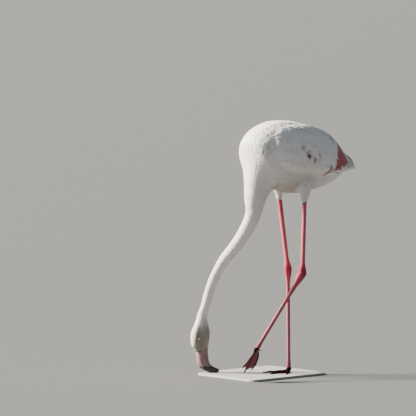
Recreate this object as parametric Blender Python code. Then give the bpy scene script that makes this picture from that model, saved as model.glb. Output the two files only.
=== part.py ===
"""A greater flamingo at life size, feeding with its bill at the floor and its left foot swinging forward.

Metres, +Z up. The bird faces -Y and its left is +X. The origin is on the floor, under the toe joint of
the right foot, which carries the bird. One smooth body line runs from the rump over the shoulder and
down the neck to the bill, and the trunk, the neck's lengths, the head and the bill are cut from it. The
bird's sizes are all measured from its sole, and at the end it is lifted onto the plain flat base that
keeps it from falling over.
"""

import math

import bmesh
import bpy
import numpy as np
from mathutils import Matrix, Vector

# Driving sizes, in metres.
GAP = 0.0003
MIDDLE = 0.007            # the trunk's middle plane stands this far left of the standing foot
ANKLE_HEIGHT = 0.356
TOE_JOINT_HEIGHT = 0.013
MIDDLE_TOE = 0.097
EYE_RADIUS = 0.0058
NECK_SIDES = 16
TRUNK_SIDES = 25
HEAD_SIDES = 18
NECK_STEP = 0.42          # the steps between rings, in rows of the tables
HEAD_STEP = 0.5

# Colours of the living bird, as linear values.
WHITE = (0.78, 0.75, 0.71, 1.0)
CRIMSON = (0.55, 0.16, 0.18, 1.0)
LEG_PINK = (0.62, 0.20, 0.22, 1.0)
BILL_PINK = (0.66, 0.36, 0.36, 1.0)
BILL_BLACK = (0.03, 0.028, 0.03, 1.0)
EYE_YELLOW = (0.75, 0.62, 0.20, 1.0)
CLAW_GREY = (0.06, 0.05, 0.05, 1.0)
STAND_GREY = (0.48, 0.46, 0.43, 1.0)


def clear_scene():
    for thing in list(bpy.data.objects):
        bpy.data.objects.remove(thing, do_unlink=True)


def new_collection(name):
    collection = bpy.data.collections.new(name)
    bpy.context.scene.collection.children.link(collection)
    return collection


def new_material(name, colour, roughness, metallic=0.0):
    material = bpy.data.materials.new(name)
    material.use_nodes = True
    shader = material.node_tree.nodes["Principled BSDF"]
    shader.inputs["Base Color"].default_value = colour
    shader.inputs["Roughness"].default_value = roughness
    shader.inputs["Metallic"].default_value = metallic
    material.diffuse_color = colour
    return material


def smooth_rows(rows, places):
    """Rows read off the smooth curve through the given rows, where place 1.5 is half way from row 1 to row 2."""
    rows = np.array(rows, dtype=float)
    steps = np.linalg.norm(np.diff(rows[:, :3], axis=0), axis=1)
    slopes = np.diff(rows, axis=0) / steps[:, None]
    inner = (slopes[:-1] * steps[1:, None] + slopes[1:] * steps[:-1, None]) / (steps[:-1] + steps[1:])[:, None]
    tangents = np.vstack([slopes[:1], inner, slopes[-1:]])
    found = []
    for place in places:
        first = min(int(place), len(rows) - 2)
        t = place - first
        span = steps[first]
        found.append(
            (2 * t**3 - 3 * t**2 + 1) * rows[first]
            + (t**3 - 2 * t**2 + t) * span * tangents[first]
            + (3 * t**2 - 2 * t**3) * rows[first + 1]
            + (t**3 - t**2) * span * tangents[first + 1]
        )
    return np.array(found)


def oval(centre, left, top, half_width, up, down, squareness, sides):
    """One closed ring: half_width to each side, up and down along the ring's own top direction."""
    ring = []
    for k in range(sides):
        angle = 2 * math.pi * k / sides
        across = math.copysign(abs(math.cos(angle)) ** (2 / squareness), math.cos(angle)) * half_width
        reach = up if math.sin(angle) > 0 else down
        along = math.copysign(abs(math.sin(angle)) ** (2 / squareness), math.sin(angle)) * reach
        ring.append(Vector(centre) + Vector(left) * across + Vector(top) * along)
    return ring


def solid(name, rings, material, collection):
    """A closed body through rings of equal counts, with a flat cap on the first and the last."""
    sides = len(rings[0])
    shape = bmesh.new()
    levels = [[shape.verts.new(point) for point in ring] for ring in rings]
    for low, high in zip(levels, levels[1:]):
        for k in range(sides):
            after = (k + 1) % sides
            shape.faces.new((low[k], low[after], high[after], high[k]))
    shape.faces.new(levels[0])
    shape.faces.new(levels[-1])
    bmesh.ops.recalc_face_normals(shape, faces=shape.faces)
    mesh = bpy.data.meshes.new(name)
    shape.to_mesh(mesh)
    shape.free()
    mesh.shade_smooth()
    mesh.set_sharp_from_angle(angle=math.radians(50))
    mesh.materials.append(material)
    body = bpy.data.objects.new(name, mesh)
    collection.objects.link(body)
    return body


def make_cutter(body):
    body.hide_render = True
    body.display_type = "WIRE"
    return body


def boolean(body, other, operation):
    step = body.modifiers.new(f"{operation.lower()} {other.name}", "BOOLEAN")
    step.object = other
    step.operation = operation
    step.solver = "EXACT"


# The body line. Each row is one section across the body: the sagittal place of its back (y, z) and of its
# under side (y, z), and its half width. The back turns over the shoulder and becomes the neck's front.
TRUNK_SECTIONS = [
    # back y, z        under side y, z   half width
    (0.244, 0.735,     0.247, 0.698,     0.022),
    (0.228, 0.753,     0.234, 0.684,     0.037),
    (0.192, 0.786,     0.202, 0.665,     0.056),
    (0.143, 0.821,     0.153, 0.646,     0.074),
    (0.088, 0.848,     0.097, 0.631,     0.087),
    (0.030, 0.866,     0.035, 0.621,     0.095),
    (-0.030, 0.876,    -0.030, 0.622,    0.097),
    (-0.088, 0.876,    -0.074, 0.631,    0.096),
    (-0.141, 0.863,    -0.090, 0.636,    0.092),
    (-0.183, 0.838,    -0.099, 0.636,    0.086),
    (-0.207, 0.802,    -0.106, 0.631,    0.077),
    (-0.203, 0.760,    -0.113, 0.624,    0.063),
    (-0.200, 0.716,    -0.120, 0.613,    0.051),
    (-0.196, 0.668,    -0.128, 0.599,    0.042),
    (-0.199, 0.632,    -0.1335, 0.582,   0.0370),
]

# The neck swings to the bird's right as it comes down. Each row: x, y, z of the centre, the way the
# throat's plane has turned to the right in degrees, and the radius. The last rows are in the head.
NECK_SECTIONS = [
    (0.0045, -0.1686, 0.568, 3, 0.0310),
    (-0.006, -0.172, 0.535, 6, 0.0285),
    (-0.024, -0.179, 0.500, 10, 0.0265),
    (-0.046, -0.187, 0.465, 14, 0.0250),
    (-0.0735, -0.1975, 0.429, 19, 0.0235),
    (-0.103, -0.208, 0.394, 24, 0.0215),
    (-0.125, -0.216, 0.358, 29, 0.0197),
    (-0.142, -0.2225, 0.323, 33, 0.0190),
    (-0.155, -0.2275, 0.288, 37, 0.0184),
    (-0.165, -0.231, 0.256, 40, 0.0178),
    (-0.174, -0.2345, 0.224, 42, 0.0176),
]

# The head and the bill lie in one upright plane, turned HEAD_TURN to the bird's right. Each row: how far
# out from the head's axis point the centre lies (out, up), the lean of the section, and its sizes.
HEAD_TURN = 42.0
HEAD_POINT = (-0.1830, -0.2375)
HEAD_SECTIONS = [
    # out      height   lean   half width  crown side  throat side  squareness
    (0.0000,   0.1990,  93.0,  0.0180,     0.0192,     0.0190,      2.0),
    (0.0020,   0.1800,  93.0,  0.0205,     0.0222,     0.0215,      2.0),
    (0.0035,   0.1640,  94.0,  0.0235,     0.0270,     0.0265,      2.0),
    (0.0045,   0.1470,  95.0,  0.0255,     0.0310,     0.0310,      2.05),
    (0.0050,   0.1300,  96.0,  0.0260,     0.0335,     0.0325,      2.1),
    (0.0050,   0.1150,  97.0,  0.0245,     0.0335,     0.0310,      2.1),
    (0.0040,   0.1030,  98.0,  0.0215,     0.0300,     0.0280,      2.15),
    (0.0030,   0.0930,  98.0,  0.0180,     0.0250,     0.0250,      2.2),
]

# The bill: the same kind of rows, with the height of the mouth line above the section's centre. It runs
# straight down from the head, then bends sharply towards the feet, so that the ridge meets the floor.
BILL_SECTIONS = [
    # out      height   lean   half width  ridge side  under side   mouth line
    (0.0028,   0.0927,  98.0,  0.0166,     0.0240,     0.0240,      0.0052),
    (0.0018,   0.0830,  98.3,  0.0145,     0.0216,     0.0218,      0.0048),
    (0.0010,   0.0750,  99.0,  0.0132,     0.0202,     0.0205,      0.0045),
    (-0.0010,  0.0590,  101.0, 0.0124,     0.0192,     0.0196,      0.0048),
    (-0.0030,  0.0430,  106.0, 0.0122,     0.0188,     0.0192,      0.0060),
    (-0.0080,  0.0285,  121.0, 0.0122,     0.0180,     0.0184,      0.0075),
    (-0.0180,  0.0178,  142.0, 0.0118,     0.0160,     0.0150,      0.0078),
    (-0.0300,  0.0120,  160.0, 0.0106,     0.0128,     0.0116,      0.0066),
    (-0.0430,  0.0088,  168.0, 0.0085,     0.0094,     0.0088,      0.0048),
    (-0.0530,  0.0070,  171.0, 0.0058,     0.0064,     0.0062,      0.0030),
    (-0.0580,  0.0062,  172.0, 0.0030,     0.0036,     0.0036,      0.0015),
]


def forward(turn):
    """The level direction the body faces after turning to its right by this many degrees."""
    return Vector((-math.sin(math.radians(turn)), -math.cos(math.radians(turn)), 0.0))


def leftward(turn):
    return Vector((math.cos(math.radians(turn)), -math.sin(math.radians(turn)), 0.0))


def body_rows():
    """Every section of the body line as centre, turn, lean, half width, top side, under side, squareness."""
    rows = []
    for back_y, back_z, under_y, under_z, half_width in TRUNK_SECTIONS:
        rise = Vector((0.0, back_y - under_y, back_z - under_z))
        lean = math.degrees(math.atan2(-rise.y, rise.z))
        half = rise.length / 2
        rows.append((MIDDLE, (back_y + under_y) / 2, (back_z + under_z) / 2, 0.0, lean, half_width, half, half, 2.15))
    for x, y, z, turn, radius in NECK_SECTIONS:
        rows.append((x, y, z, turn, 90.0, radius * 0.97, radius, radius, 2.0))
    for out, height, lean, half_width, top, under, squareness in HEAD_SECTIONS:
        rows.append((*head_place(out, height), HEAD_TURN, lean, half_width, top, under, squareness))
    return rows


def head_place(out, height):
    """A place in the head's plane: out from its axis towards the crown's side, and the height."""
    place = Vector((HEAD_POINT[0], HEAD_POINT[1], height)) + forward(HEAD_TURN) * out
    return tuple(place)


BODY_ROWS = body_rows()
NECK_START = len(TRUNK_SECTIONS) + 0.0
HEAD_START = len(TRUNK_SECTIONS) + len(NECK_SECTIONS) + 0.3
HEAD_END = len(BODY_ROWS) - 1.0


def body_frame(place):
    """The centre, the along, left and top directions, and the sizes of the section at this place."""
    row, before, after = smooth_rows(BODY_ROWS, [place, max(place - 0.05, 0), min(place + 0.05, HEAD_END)])
    turn, lean = row[3], math.radians(row[4])
    top = Vector((0, 0, math.cos(lean))) + forward(turn) * math.sin(lean)
    left = leftward(turn)
    along = top.cross(left)
    path = Vector(after[:3] - before[:3]).normalized()
    if path.dot(along) < 0:
        along.negate()
    follow = min(max(place - (NECK_START - 3.0), 0.0) / 3.0, 1.0)
    if place > HEAD_START:
        follow = max(1.0 - (place - HEAD_START) / 3.0, 0.0)
    along = along.lerp(path, follow).normalized()
    top = (top - along * top.dot(along)).normalized()
    left = left - along * left.dot(along)
    left = (left - top * left.dot(top)).normalized()
    return Vector(row[:3]), along, left, top, row[5:]


def body_ring(place, sides, grow=0.0, shift=0.0):
    """One ring round the body line: larger by grow all round, and moved along the line by shift."""
    centre, along, left, top, (half_width, up, down, squareness) = body_frame(place)
    centre = centre + along * shift
    return oval(centre, left, top, half_width + grow, up + grow, down + grow, squareness, sides)


def body_length(name, start, end, step, sides, material, collection, shifts):
    """One length of the body line, with its ends moved along it by shifts to leave the gaps."""
    count = max(int(round((end - start) / step)), 2)
    places = np.linspace(start, end, count + 1)
    rings = [body_ring(place, sides) for place in places]
    rings[0] = body_ring(start, sides, shift=shifts[0])
    rings[-1] = body_ring(end, sides, shift=shifts[1])
    return solid(name, rings, material, collection)


def blunt_end(rings, reach, steps=2):
    """More rings after the last one, so that a body ends in a rounded cap and not a flat one."""
    last = rings[-1]
    centre = sum(last, Vector()) / len(last)
    before = sum(rings[-2], Vector()) / len(last)
    along = (centre - before).normalized()
    for k in range(1, steps + 1):
        angle = math.radians(80) * k / steps
        middle = centre + along * reach * math.sin(angle)
        rings.append([middle + (point - centre) * math.cos(angle) for point in last])
    return rings


# The trunk ends a little before the neck's first row, in a cap that the neck's root covers.
TRUNK_END = NECK_START - 0.4
TRUNK_CAP = 0.008


def trunk_rings(grow=0.0):
    places = np.linspace(0, TRUNK_END, 24)
    rings = [body_ring(place, TRUNK_SIDES, grow) for place in places]
    front = rings[::-1]
    return blunt_end(front, TRUNK_CAP + grow)


def build_trunk(feathers, collection, cutters):
    """The trunk down to the root of the neck. Returns the slightly larger copy that its neighbours are cut by."""
    solid("trunk", trunk_rings(), feathers, collection)
    return make_cutter(solid("trunk_cutter", trunk_rings(GAP), feathers, cutters))


def build_neck(feathers, collection):
    """Three lengths of one bent neck, which meet face to face."""
    names = ("neck_lower", "neck_middle", "neck_upper")
    joints = np.linspace(TRUNK_END, HEAD_START, len(names) + 1)
    for name, start, end in zip(names, joints, joints[1:]):
        near = GAP if start == TRUNK_END else GAP / 2
        body_length(name, start, end, NECK_STEP, NECK_SIDES, feathers, collection, (near, -GAP / 2))


# Where the eyes sit, as height and as a reach out from the head's axis; a small part of each shows.
EYE_HEIGHT = 0.1190
EYE_OUT = 0.0095
EYE_SIDE = 0.0205


def eye_centres():
    middle = Vector(head_place(EYE_OUT, EYE_HEIGHT))
    return {
        "left": middle + leftward(HEAD_TURN) * EYE_SIDE,
        "right": middle - leftward(HEAD_TURN) * EYE_SIDE,
    }


def ball(name, centre, radius, material, collection):
    shape = bmesh.new()
    bmesh.ops.create_uvsphere(shape, u_segments=10, v_segments=7, radius=radius)
    bmesh.ops.transform(shape, matrix=Matrix.Translation(centre), verts=shape.verts)
    mesh = bpy.data.meshes.new(name)
    shape.to_mesh(mesh)
    shape.free()
    mesh.shade_smooth()
    mesh.materials.append(material)
    body = bpy.data.objects.new(name, mesh)
    collection.objects.link(body)
    return body


def build_head(feathers, eye, collection, cutters):
    head = body_length("head", HEAD_START, HEAD_END, HEAD_STEP, HEAD_SIDES, feathers, collection, (GAP / 2, 0.0))
    for side, centre in eye_centres().items():
        ball(f"eye_{side}", centre, EYE_RADIUS, eye, collection)
        socket = make_cutter(ball(f"socket_{side}", centre, EYE_RADIUS + GAP, eye, cutters))
        boolean(head, socket, "DIFFERENCE")


def bill_ring(row, upper, count=9):
    """Half of one section of the bill: a low arch above the mouth line, or a deep trough below it."""
    out, height, lean, half_width, ridge, under, mouth = row
    lean = math.radians(lean)
    centre = Vector(head_place(out, height))
    top = Vector((0, 0, math.cos(lean))) + forward(HEAD_TURN) * math.sin(lean)
    left = leftward(HEAD_TURN)
    edge = mouth + (GAP / 2 if upper else -GAP / 2)
    reach = ridge - edge if upper else under + edge
    squareness = 1.9 if upper else 2.5
    ring = []
    for k in range(count):
        angle = math.pi * k / (count - 1)
        across = math.copysign(abs(math.cos(angle)) ** (2 / squareness), math.cos(angle)) * half_width
        rise = abs(math.sin(angle)) ** (2 / squareness) * reach * (1 if upper else -1)
        ring.append(centre + left * across + top * (edge + rise))
    for k in (1, 2, 3):
        ring.append(ring[count - 1].lerp(ring[0], k / 4))
    return ring


def build_bill(pink, black, collection):
    """The thin upper bill and the deep lower one, with the mouth line between them."""
    rows = [(*head_place(row[0], row[1]), *row) for row in BILL_SECTIONS]
    places = np.linspace(0, len(rows) - 1, 18)
    smooth = smooth_rows(rows, places)[:, 3:]
    floor = bpy.data.objects["floor_cutter"]
    for name, upper, material in (("bill_upper", True, pink), ("bill_lower", False, black)):
        bill = solid(name, [bill_ring(row, upper) for row in smooth], material, collection)
        boolean(bill, floor, "DIFFERENCE")


# The tail: short, broad and blunt, hanging from the rump. Each row: y, z, half width, half thickness.
TAIL_SECTIONS = [
    (0.195, 0.729, 0.036, 0.038),
    (0.230, 0.721, 0.034, 0.034),
    (0.258, 0.712, 0.032, 0.026),
    (0.277, 0.704, 0.029, 0.017),
    (0.289, 0.698, 0.024, 0.009),
    (0.294, 0.695, 0.018, 0.004),
]


def tail_rings(grow=0.0):
    rings = []
    for y, z, half_width, half_thickness in smooth_rows(TAIL_SECTIONS, np.linspace(0, 5, 10)):
        height = half_thickness + grow
        rings.append(oval((MIDDLE, y, z), (1, 0, 0), (0, 0.35, 0.94), half_width + grow, height, height, 2.3, 16))
    return rings


def build_tail(feathers, trunk_cutter, collection, cutters):
    tail = solid("tail", tail_rings(), feathers, collection)
    boolean(tail, trunk_cutter, "DIFFERENCE")
    return make_cutter(solid("tail_cutter", tail_rings(GAP), feathers, cutters))


# The folded wing. Each row: y and z of the section's centre, its reach out from the middle plane, half of
# its height along the side of the body, half of its thickness, and how far its top leans in, in degrees.
WING_SECTIONS = [
    (-0.154, 0.792, 0.054, 0.020, 0.014, 20),
    (-0.138, 0.790, 0.060, 0.048, 0.026, 22),
    (-0.105, 0.786, 0.064, 0.072, 0.036, 24),
    (-0.050, 0.782, 0.065, 0.085, 0.042, 25),
    (0.010, 0.778, 0.064, 0.089, 0.043, 26),
    (0.070, 0.772, 0.060, 0.087, 0.040, 27),
    (0.125, 0.761, 0.052, 0.079, 0.035, 28),
    (0.172, 0.749, 0.043, 0.066, 0.028, 29),
    (0.210, 0.737, 0.036, 0.049, 0.019, 30),
    (0.237, 0.724, 0.031, 0.027, 0.011, 31),
    (0.254, 0.718, 0.027, 0.012, 0.005, 32),
]


def wing_rings(side):
    rings = []
    for y, z, out, half_height, half_thickness, lean in smooth_rows(WING_SECTIONS, np.linspace(0, 10, 19)):
        top = Vector((-side * math.sin(math.radians(lean)), 0, math.cos(math.radians(lean))))
        outward = Vector((side * math.cos(math.radians(lean)), 0, math.sin(math.radians(lean))))
        centre = (MIDDLE + side * out, y, z)
        rings.append(oval(centre, outward, top, half_thickness, half_height, half_height, 2.5, 18))
    return rings


def build_wings(feathers, cutters_under, collection):
    """Each wing lies on the trunk and over the root of the tail, and is hollowed by both."""
    for name, side in (("wing_left", 1), ("wing_right", -1)):
        wing = solid(name, wing_rings(side), feathers, collection)
        for cutter in cutters_under:
            boolean(wing, cutter, "DIFFERENCE")


# The legs. The hip and the knee are inside the plumage. The right leg stands; the left one swings.
LEG_JOINTS = {
    "right": {
        "knee": (-0.050, -0.021, 0.732),
        "ankle": (-0.010, 0.005, ANKLE_HEIGHT),
        "toe_joint": (0.0, 0.0, TOE_JOINT_HEIGHT),
    },
    "left": {
        "knee": (0.0785, 0.0052, 0.720),
        "ankle": (0.0594, 0.0090, 0.346),
        "toe_joint": (0.0780, -0.2233, 0.1002),
    },
}
FEATHER_END = {"right": 0.360, "left": 0.345}
THIGH_RADII = ((0.120, 0.020, 0.026), (0.17, 0.027, 0.034), (0.235, 0.021, 0.026), (0.295, 0.0140, 0.0160))
SHANK_RADII = {"right": (0.0090, 0.0073), "left": (0.0074, 0.0078)}
ANKLE_RADII = {"right": (0.0126, 0.0148), "left": (0.0132, 0.0166)}
ANKLE_REACH = {"right": 0.054, "left": 0.080}     # how far down the tarsus the ankle's knob fades
TARSUS_RADII = (0.0060, 0.0068)
HUB_LENGTH = 0.009
LIMB_SIDES = 12


def tube_frame(along):
    """Directions across a limb: its left, kept near the bird's left, and its front."""
    left = Vector((1, 0, 0))
    left = (left - along * left.dot(along)).normalized()
    front = left.cross(along)
    if front.y > 0:
        front.negate()
    return left, front


def limb(name, stations, material, collection):
    """A limb through stations of centre, side radius, front radius and the direction across which it is cut."""
    rings = []
    for centre, side_radius, front_radius, along in stations:
        left, front = tube_frame(along)
        rings.append(oval(centre, left, front, side_radius, front_radius, front_radius, 2.0, LIMB_SIDES))
    return solid(name, rings, material, collection)


def build_thigh(side, feathers, trunk_cutter, collection):
    knee = Vector(LEG_JOINTS[side]["knee"])
    ankle = Vector(LEG_JOINTS[side]["ankle"])
    along = (ankle - knee).normalized()
    length = (ankle - knee).length
    stations = []
    rows = [(0.0, 0.0, reach * length, *radii) for reach, *radii in THIGH_RADII]
    top = SHANK_RADII[side][0]
    rows.append((0.0, 0.0, FEATHER_END[side] * length, top + 0.0010, top + 0.0016))
    for row in smooth_rows(rows, np.linspace(0, len(rows) - 1, 13)):
        stations.append((knee + along * row[2], row[3], row[4], along))
    thigh = limb(f"thigh_{side}", stations, feathers, collection)
    boolean(thigh, trunk_cutter, "DIFFERENCE")


def bulge(distance, width):
    """A smooth bump: 1 at no distance, 0 past this width."""
    return math.cos(min(abs(distance) / width, 1.0) * math.pi / 2) ** 2


def build_shin(side, skin, collection):
    """The bare lower leg above the ankle, and the tarsus below it. Each takes half of the ankle's knob."""
    joints = {name: Vector(place) for name, place in LEG_JOINTS[side].items()}
    upper = (joints["ankle"] - joints["knee"]).normalized()
    lower = (joints["toe_joint"] - joints["ankle"]).normalized()
    mitre = (upper + lower).normalized()
    length = (joints["ankle"] - joints["knee"]).length
    start = joints["knee"] + upper * (FEATHER_END[side] * length + GAP)
    shank = []
    reach = (joints["ankle"] - start).length
    for t in (0, 0.2, 0.4, 0.6, 0.75, 0.84, 0.89, 0.93, 0.965, 1.0):
        knob = bulge((1 - t) * reach, 0.040)
        plain = SHANK_RADII[side][0] * (1 - t) + SHANK_RADII[side][1] * t
        radii = [plain * (1 - knob) + radius * knob for radius in ANKLE_RADII[side]]
        turn = upper.lerp(mitre, knob).normalized()
        centre = start.lerp(joints["ankle"], t)
        if t == 1.0:
            centre = centre - turn * GAP / 2
        shank.append((centre, radii[0], radii[1], turn))
    limb(f"shank_{side}", shank, skin, collection)
    end = joints["toe_joint"] - lower * (HUB_LENGTH + GAP)
    tarsus = []
    reach = (end - joints["ankle"]).length
    for t in (0, 0.025, 0.05, 0.08, 0.115, 0.17, 0.3, 0.5, 0.7, 0.85, 0.93, 0.97, 1.0):
        knob = bulge(t * reach, ANKLE_REACH[side])
        foot_end = bulge((1 - t) * reach, 0.030)
        radii = []
        for plain, ankle in zip(TARSUS_RADII, ANKLE_RADII[side]):
            radii.append(plain * (1 - knob) + ankle * knob + 0.0016 * foot_end)
        turn = lower.lerp(mitre, knob).normalized()
        centre = joints["ankle"].lerp(end, t)
        if t == 0:
            centre = centre + turn * GAP / 2
        tarsus.append((centre, radii[0], radii[1], turn))
    limb(f"tarsus_{side}", tarsus, skin, collection)


# The feet: three webbed front toes and a small hind one. Spread from the middle toe in degrees, length,
# and the number of bones between the joints.
TOES = (("inner", -1, 0.82, 2), ("middle", 0, 1.0, 3), ("outer", 1, 0.93, 4))
FOOT_POSES = {
    # pitch: the toes' angle from the line of the tarsus; inner, outer: the spread of these toes from the
    # middle one at their roots and tips; curl: the bend down to the tips; turn: the whole foot's turn about
    # the upright, all in degrees; web: how far it reaches along the toes, and how deeply its edge is hollowed
    "right": {"pitch": 90, "inner": (33, 33), "outer": (33, 33), "curl": 0, "turn": 8, "web": (0.86, 0.26)},
    "left": {"pitch": -8, "inner": (5, 13), "outer": (54, 19), "curl": -10, "turn": 0, "web": (0.92, 0.08)},
}
TOE_RADII = (0.0052, 0.0045)
HIND_TOE = 0.013
WEB_HALF_THICKNESS = 0.0011


def spread_of(pose, side, place):
    """The angles from the middle toe at root and tip, for a place from the inner toe (-1) to the outer (1)."""
    turn = -place if side == "right" else place
    return [turn * angle for angle in pose["inner" if place < 0 else "outer"]]


def toe_point(pose, spread, distance, length):
    """A place along a toe, its direction and the foot's upper side, in the foot's own frame."""
    pitch = math.radians(pose["pitch"])
    ahead = Vector((0, -math.sin(pitch), -math.cos(pitch)))
    above = Vector((0, -math.cos(pitch), math.sin(pitch)))
    out = Vector((1, 0, 0))
    share = min(distance / length, 1.0)
    spread = math.radians(spread[0] * (1 - share) + spread[1] * share)
    along = ahead * math.cos(spread) + out * math.sin(spread)
    curl = math.radians(pose["curl"]) * distance / length
    drop = -distance * math.sin(curl / 2)
    place = along * distance * math.cos(curl / 2) + above * drop
    bent = along * math.cos(curl) - above * math.sin(curl)
    return place, bent, above * math.cos(curl) + along * math.sin(curl)


def toe_rings(pose, spread, length, bones, sink):
    rings = []
    for t in (0, 0.15, 0.3, 0.45, 0.6, 0.75, 0.88, 1.0):
        place, along, above = toe_point(pose, spread, t * length, length)
        joint = 1 + 0.13 * math.cos(2 * math.pi * bones * t) * min(1.0, 4 * (1 - t))
        taper = (1 - 0.42 * t) * joint * (0.72 if t == 1.0 else 1.0)
        width, height = TOE_RADII[0] * taper, TOE_RADII[1] * taper
        settle = -(TOE_JOINT_HEIGHT - height + 0.0006) * min(t / 0.12, 1.0) if sink else 0.0
        left = along.cross(above)
        rings.append(oval(place + above * settle, left, above, width, height, height, 2.0, 7))
    return rings


def claw_rings(pose, spread, length, sink):
    rings = []
    for t, size in ((0.0, 1.0), (0.35, 0.85), (0.7, 0.55), (1.0, 0.15)):
        distance = length + GAP + 0.0075 * t
        place, along, above = toe_point(pose, spread, distance, length)
        radius = TOE_RADII[1] * 0.40 * size
        height = radius + 0.0004
        settle = -(TOE_JOINT_HEIGHT - height) if sink else -0.0010 * t
        rings.append(oval(place + above * settle, along.cross(above), above, radius, radius, radius, 2.0, 6))
    return rings


def web_rings(pose, side, sink):
    """A thin web fanned across the three toes, with its front edge hollowed between them."""
    rings = []
    lengths = [MIDDLE_TOE * share for _, _, share, _ in TOES]
    for k in range(11):
        first = min(k // 5, 1)
        between = k / 5 - first
        spread = spread_of(pose, side, k / 5 - 1)
        web_reach, hollow = pose["web"]
        reach = lengths[first] + (lengths[first + 1] - lengths[first]) * between
        reach *= web_reach - hollow * math.sin(math.pi * between)
        ring = []
        for edge in (-1, 1):
            stretch = np.linspace(0.004, reach, 3)
            for distance in (stretch if edge < 0 else stretch[::-1]):
                place, _, above = toe_point(pose, spread, distance, MIDDLE_TOE)
                settle = -(TOE_JOINT_HEIGHT - 0.0024) * min(distance / 0.012, 1.0) if sink else 0.0
                ring.append(place + above * (settle + edge * WEB_HALF_THICKNESS))
        rings.append(ring)
    return rings


def hub_rings(pose):
    """The toe joint: round, and cut flat where the tarsus meets it."""
    rings = []
    for height, side, front in (
        (HUB_LENGTH, 0.0068, 0.0074),
        (0.004, 0.0074, 0.0078),
        (-0.002, 0.0076, 0.0080),
        (-0.008, 0.0070, 0.0074),
        (-0.0136, 0.0056, 0.0060),
    ):
        if pose["pitch"] < 45 and height < -0.009:
            side, front = side * 0.6, front * 0.6
        rings.append(oval((0, 0, height), (1, 0, 0), (0, -1, 0), side, front, front, 2.0, 12))
    return rings


def foot_matrix(side):
    toe_joint = Vector(LEG_JOINTS[side]["toe_joint"])
    if side == "right":
        return Matrix.Translation(toe_joint) @ Matrix.Rotation(math.radians(FOOT_POSES[side]["turn"]), 4, "Z")
    line = (Vector(LEG_JOINTS[side]["ankle"]) - toe_joint).normalized()
    left, front = tube_frame(-line)
    frame = Matrix((left, -front, line)).transposed().to_4x4()
    return Matrix.Translation(toe_joint) @ frame


def placed(rings, matrix):
    return [[matrix @ point for point in ring] for ring in rings]


def hub_top(side):
    """The right tarsus is not quite upright, so the hub's flat top follows the tarsus' own line."""
    line = (Vector(LEG_JOINTS[side]["ankle"]) - Vector(LEG_JOINTS[side]["toe_joint"])).normalized()
    left, front = tube_frame(-line)
    centre = Vector(LEG_JOINTS[side]["toe_joint"]) + line * HUB_LENGTH
    return oval(centre, left, front, 0.0068, 0.0074, 0.0074, 2.0, 12)


def build_foot(side, skin, claw, collection, cutters):
    pose = FOOT_POSES[side]
    sink = pose["pitch"] == 90.0
    matrix = foot_matrix(side)
    hub = placed(hub_rings(pose), matrix)
    hub[0] = hub_top(side)
    foot = solid(f"foot_{side}", hub, skin, collection)
    parts = []
    for toe, place, share, bones in TOES:
        spread = spread_of(pose, side, place)
        length = MIDDLE_TOE * share
        parts.append((toe, toe_rings(pose, spread, length, bones, sink)))
        rings = placed(claw_rings(pose, spread, length, sink), matrix)
        solid(f"claw_{side}_{toe}", rings, claw, collection)
    parts.append(("web", web_rings(pose, side, sink)))
    parts.append(("hind", hind_toe_rings(pose, 0.0, HIND_TOE)))
    solid(f"claw_{side}_hind", placed(hind_toe_rings(pose, HIND_TOE + GAP, HIND_TOE + 0.005), matrix), claw, collection)
    for name, rings in parts:
        piece = make_cutter(solid(f"{name}_{side}", placed(rings, matrix), skin, cutters))
        boolean(foot, piece, "UNION")
    if sink:
        boolean(foot, bpy.data.objects["floor_cutter"], "DIFFERENCE")


def hind_toe_rings(pose, start, end):
    """The small hind toe, high on the back of the foot. It is straight, so its claw carries on its line."""
    back = Vector((0, 0.80, -0.60 if pose["pitch"] > 45 else 0.35)).normalized()
    across = Vector((1, 0, 0))
    above = across.cross(back)
    base = Vector((0, 0.004, 0.0035))
    rings = []
    for t in (0, 0.5, 1.0):
        distance = start + (end - start) * t
        radius = 0.0032 * (1 - 0.55 * distance / (HIND_TOE + 0.005)) * (0.45 if start and t == 1.0 else 1.0)
        rings.append(oval(base + back * distance, across, above, radius, radius, radius, 2.0, 8))
    return rings


def build_floor_cutter(cutters, material):
    """A block with its top at the floor, which cuts the soles and the bill's ridge flat."""
    shape = bmesh.new()
    bmesh.ops.create_cube(shape, size=1.0)
    bmesh.ops.transform(shape, matrix=Matrix.Translation((0, 0, -0.5)), verts=shape.verts)
    mesh = bpy.data.meshes.new("floor_cutter")
    shape.to_mesh(mesh)
    shape.free()
    mesh.materials.append(material)
    cutter = bpy.data.objects.new("floor_cutter", mesh)
    cutters.objects.link(cutter)
    make_cutter(cutter)


# The stand: a plain flat board with rounded corners and eased edges, under the foot and the bill.
STAND_CENTRE = (-0.046, -0.086)
STAND_SIZE = (0.300, 0.350)
STAND_THICKNESS = 0.008
STAND_CORNER = 0.028
STAND_EASE = 0.0012


def lift_bird(collections, height):
    """Moves all that is built so far, and the cutters that shape it, up from the floor."""
    for collection in collections:
        for thing in collection.objects:
            thing.data.transform(Matrix.Translation((0, 0, height)))


def board_ring(height, inset):
    """The outline of the board at one height, drawn in from its sides by inset."""
    half = [size / 2 - inset for size in STAND_SIZE]
    radius = STAND_CORNER - inset
    ring = []
    for corner, (across, back) in enumerate(((1, 1), (-1, 1), (-1, -1), (1, -1))):
        for k in range(5):
            angle = math.radians(90 * corner + 22.5 * k)
            x = across * (half[0] - radius) + radius * math.cos(angle)
            y = back * (half[1] - radius) + radius * math.sin(angle)
            ring.append(Vector((STAND_CENTRE[0] + x, STAND_CENTRE[1] + y, height)))
    return ring


def build_stand(paint, collection):
    top = STAND_THICKNESS
    levels = ((0, STAND_EASE), (STAND_EASE, 0), (top - STAND_EASE, 0), (top, STAND_EASE))
    solid("stand_base", [board_ring(height, inset) for height, inset in levels], paint, collection)


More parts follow.
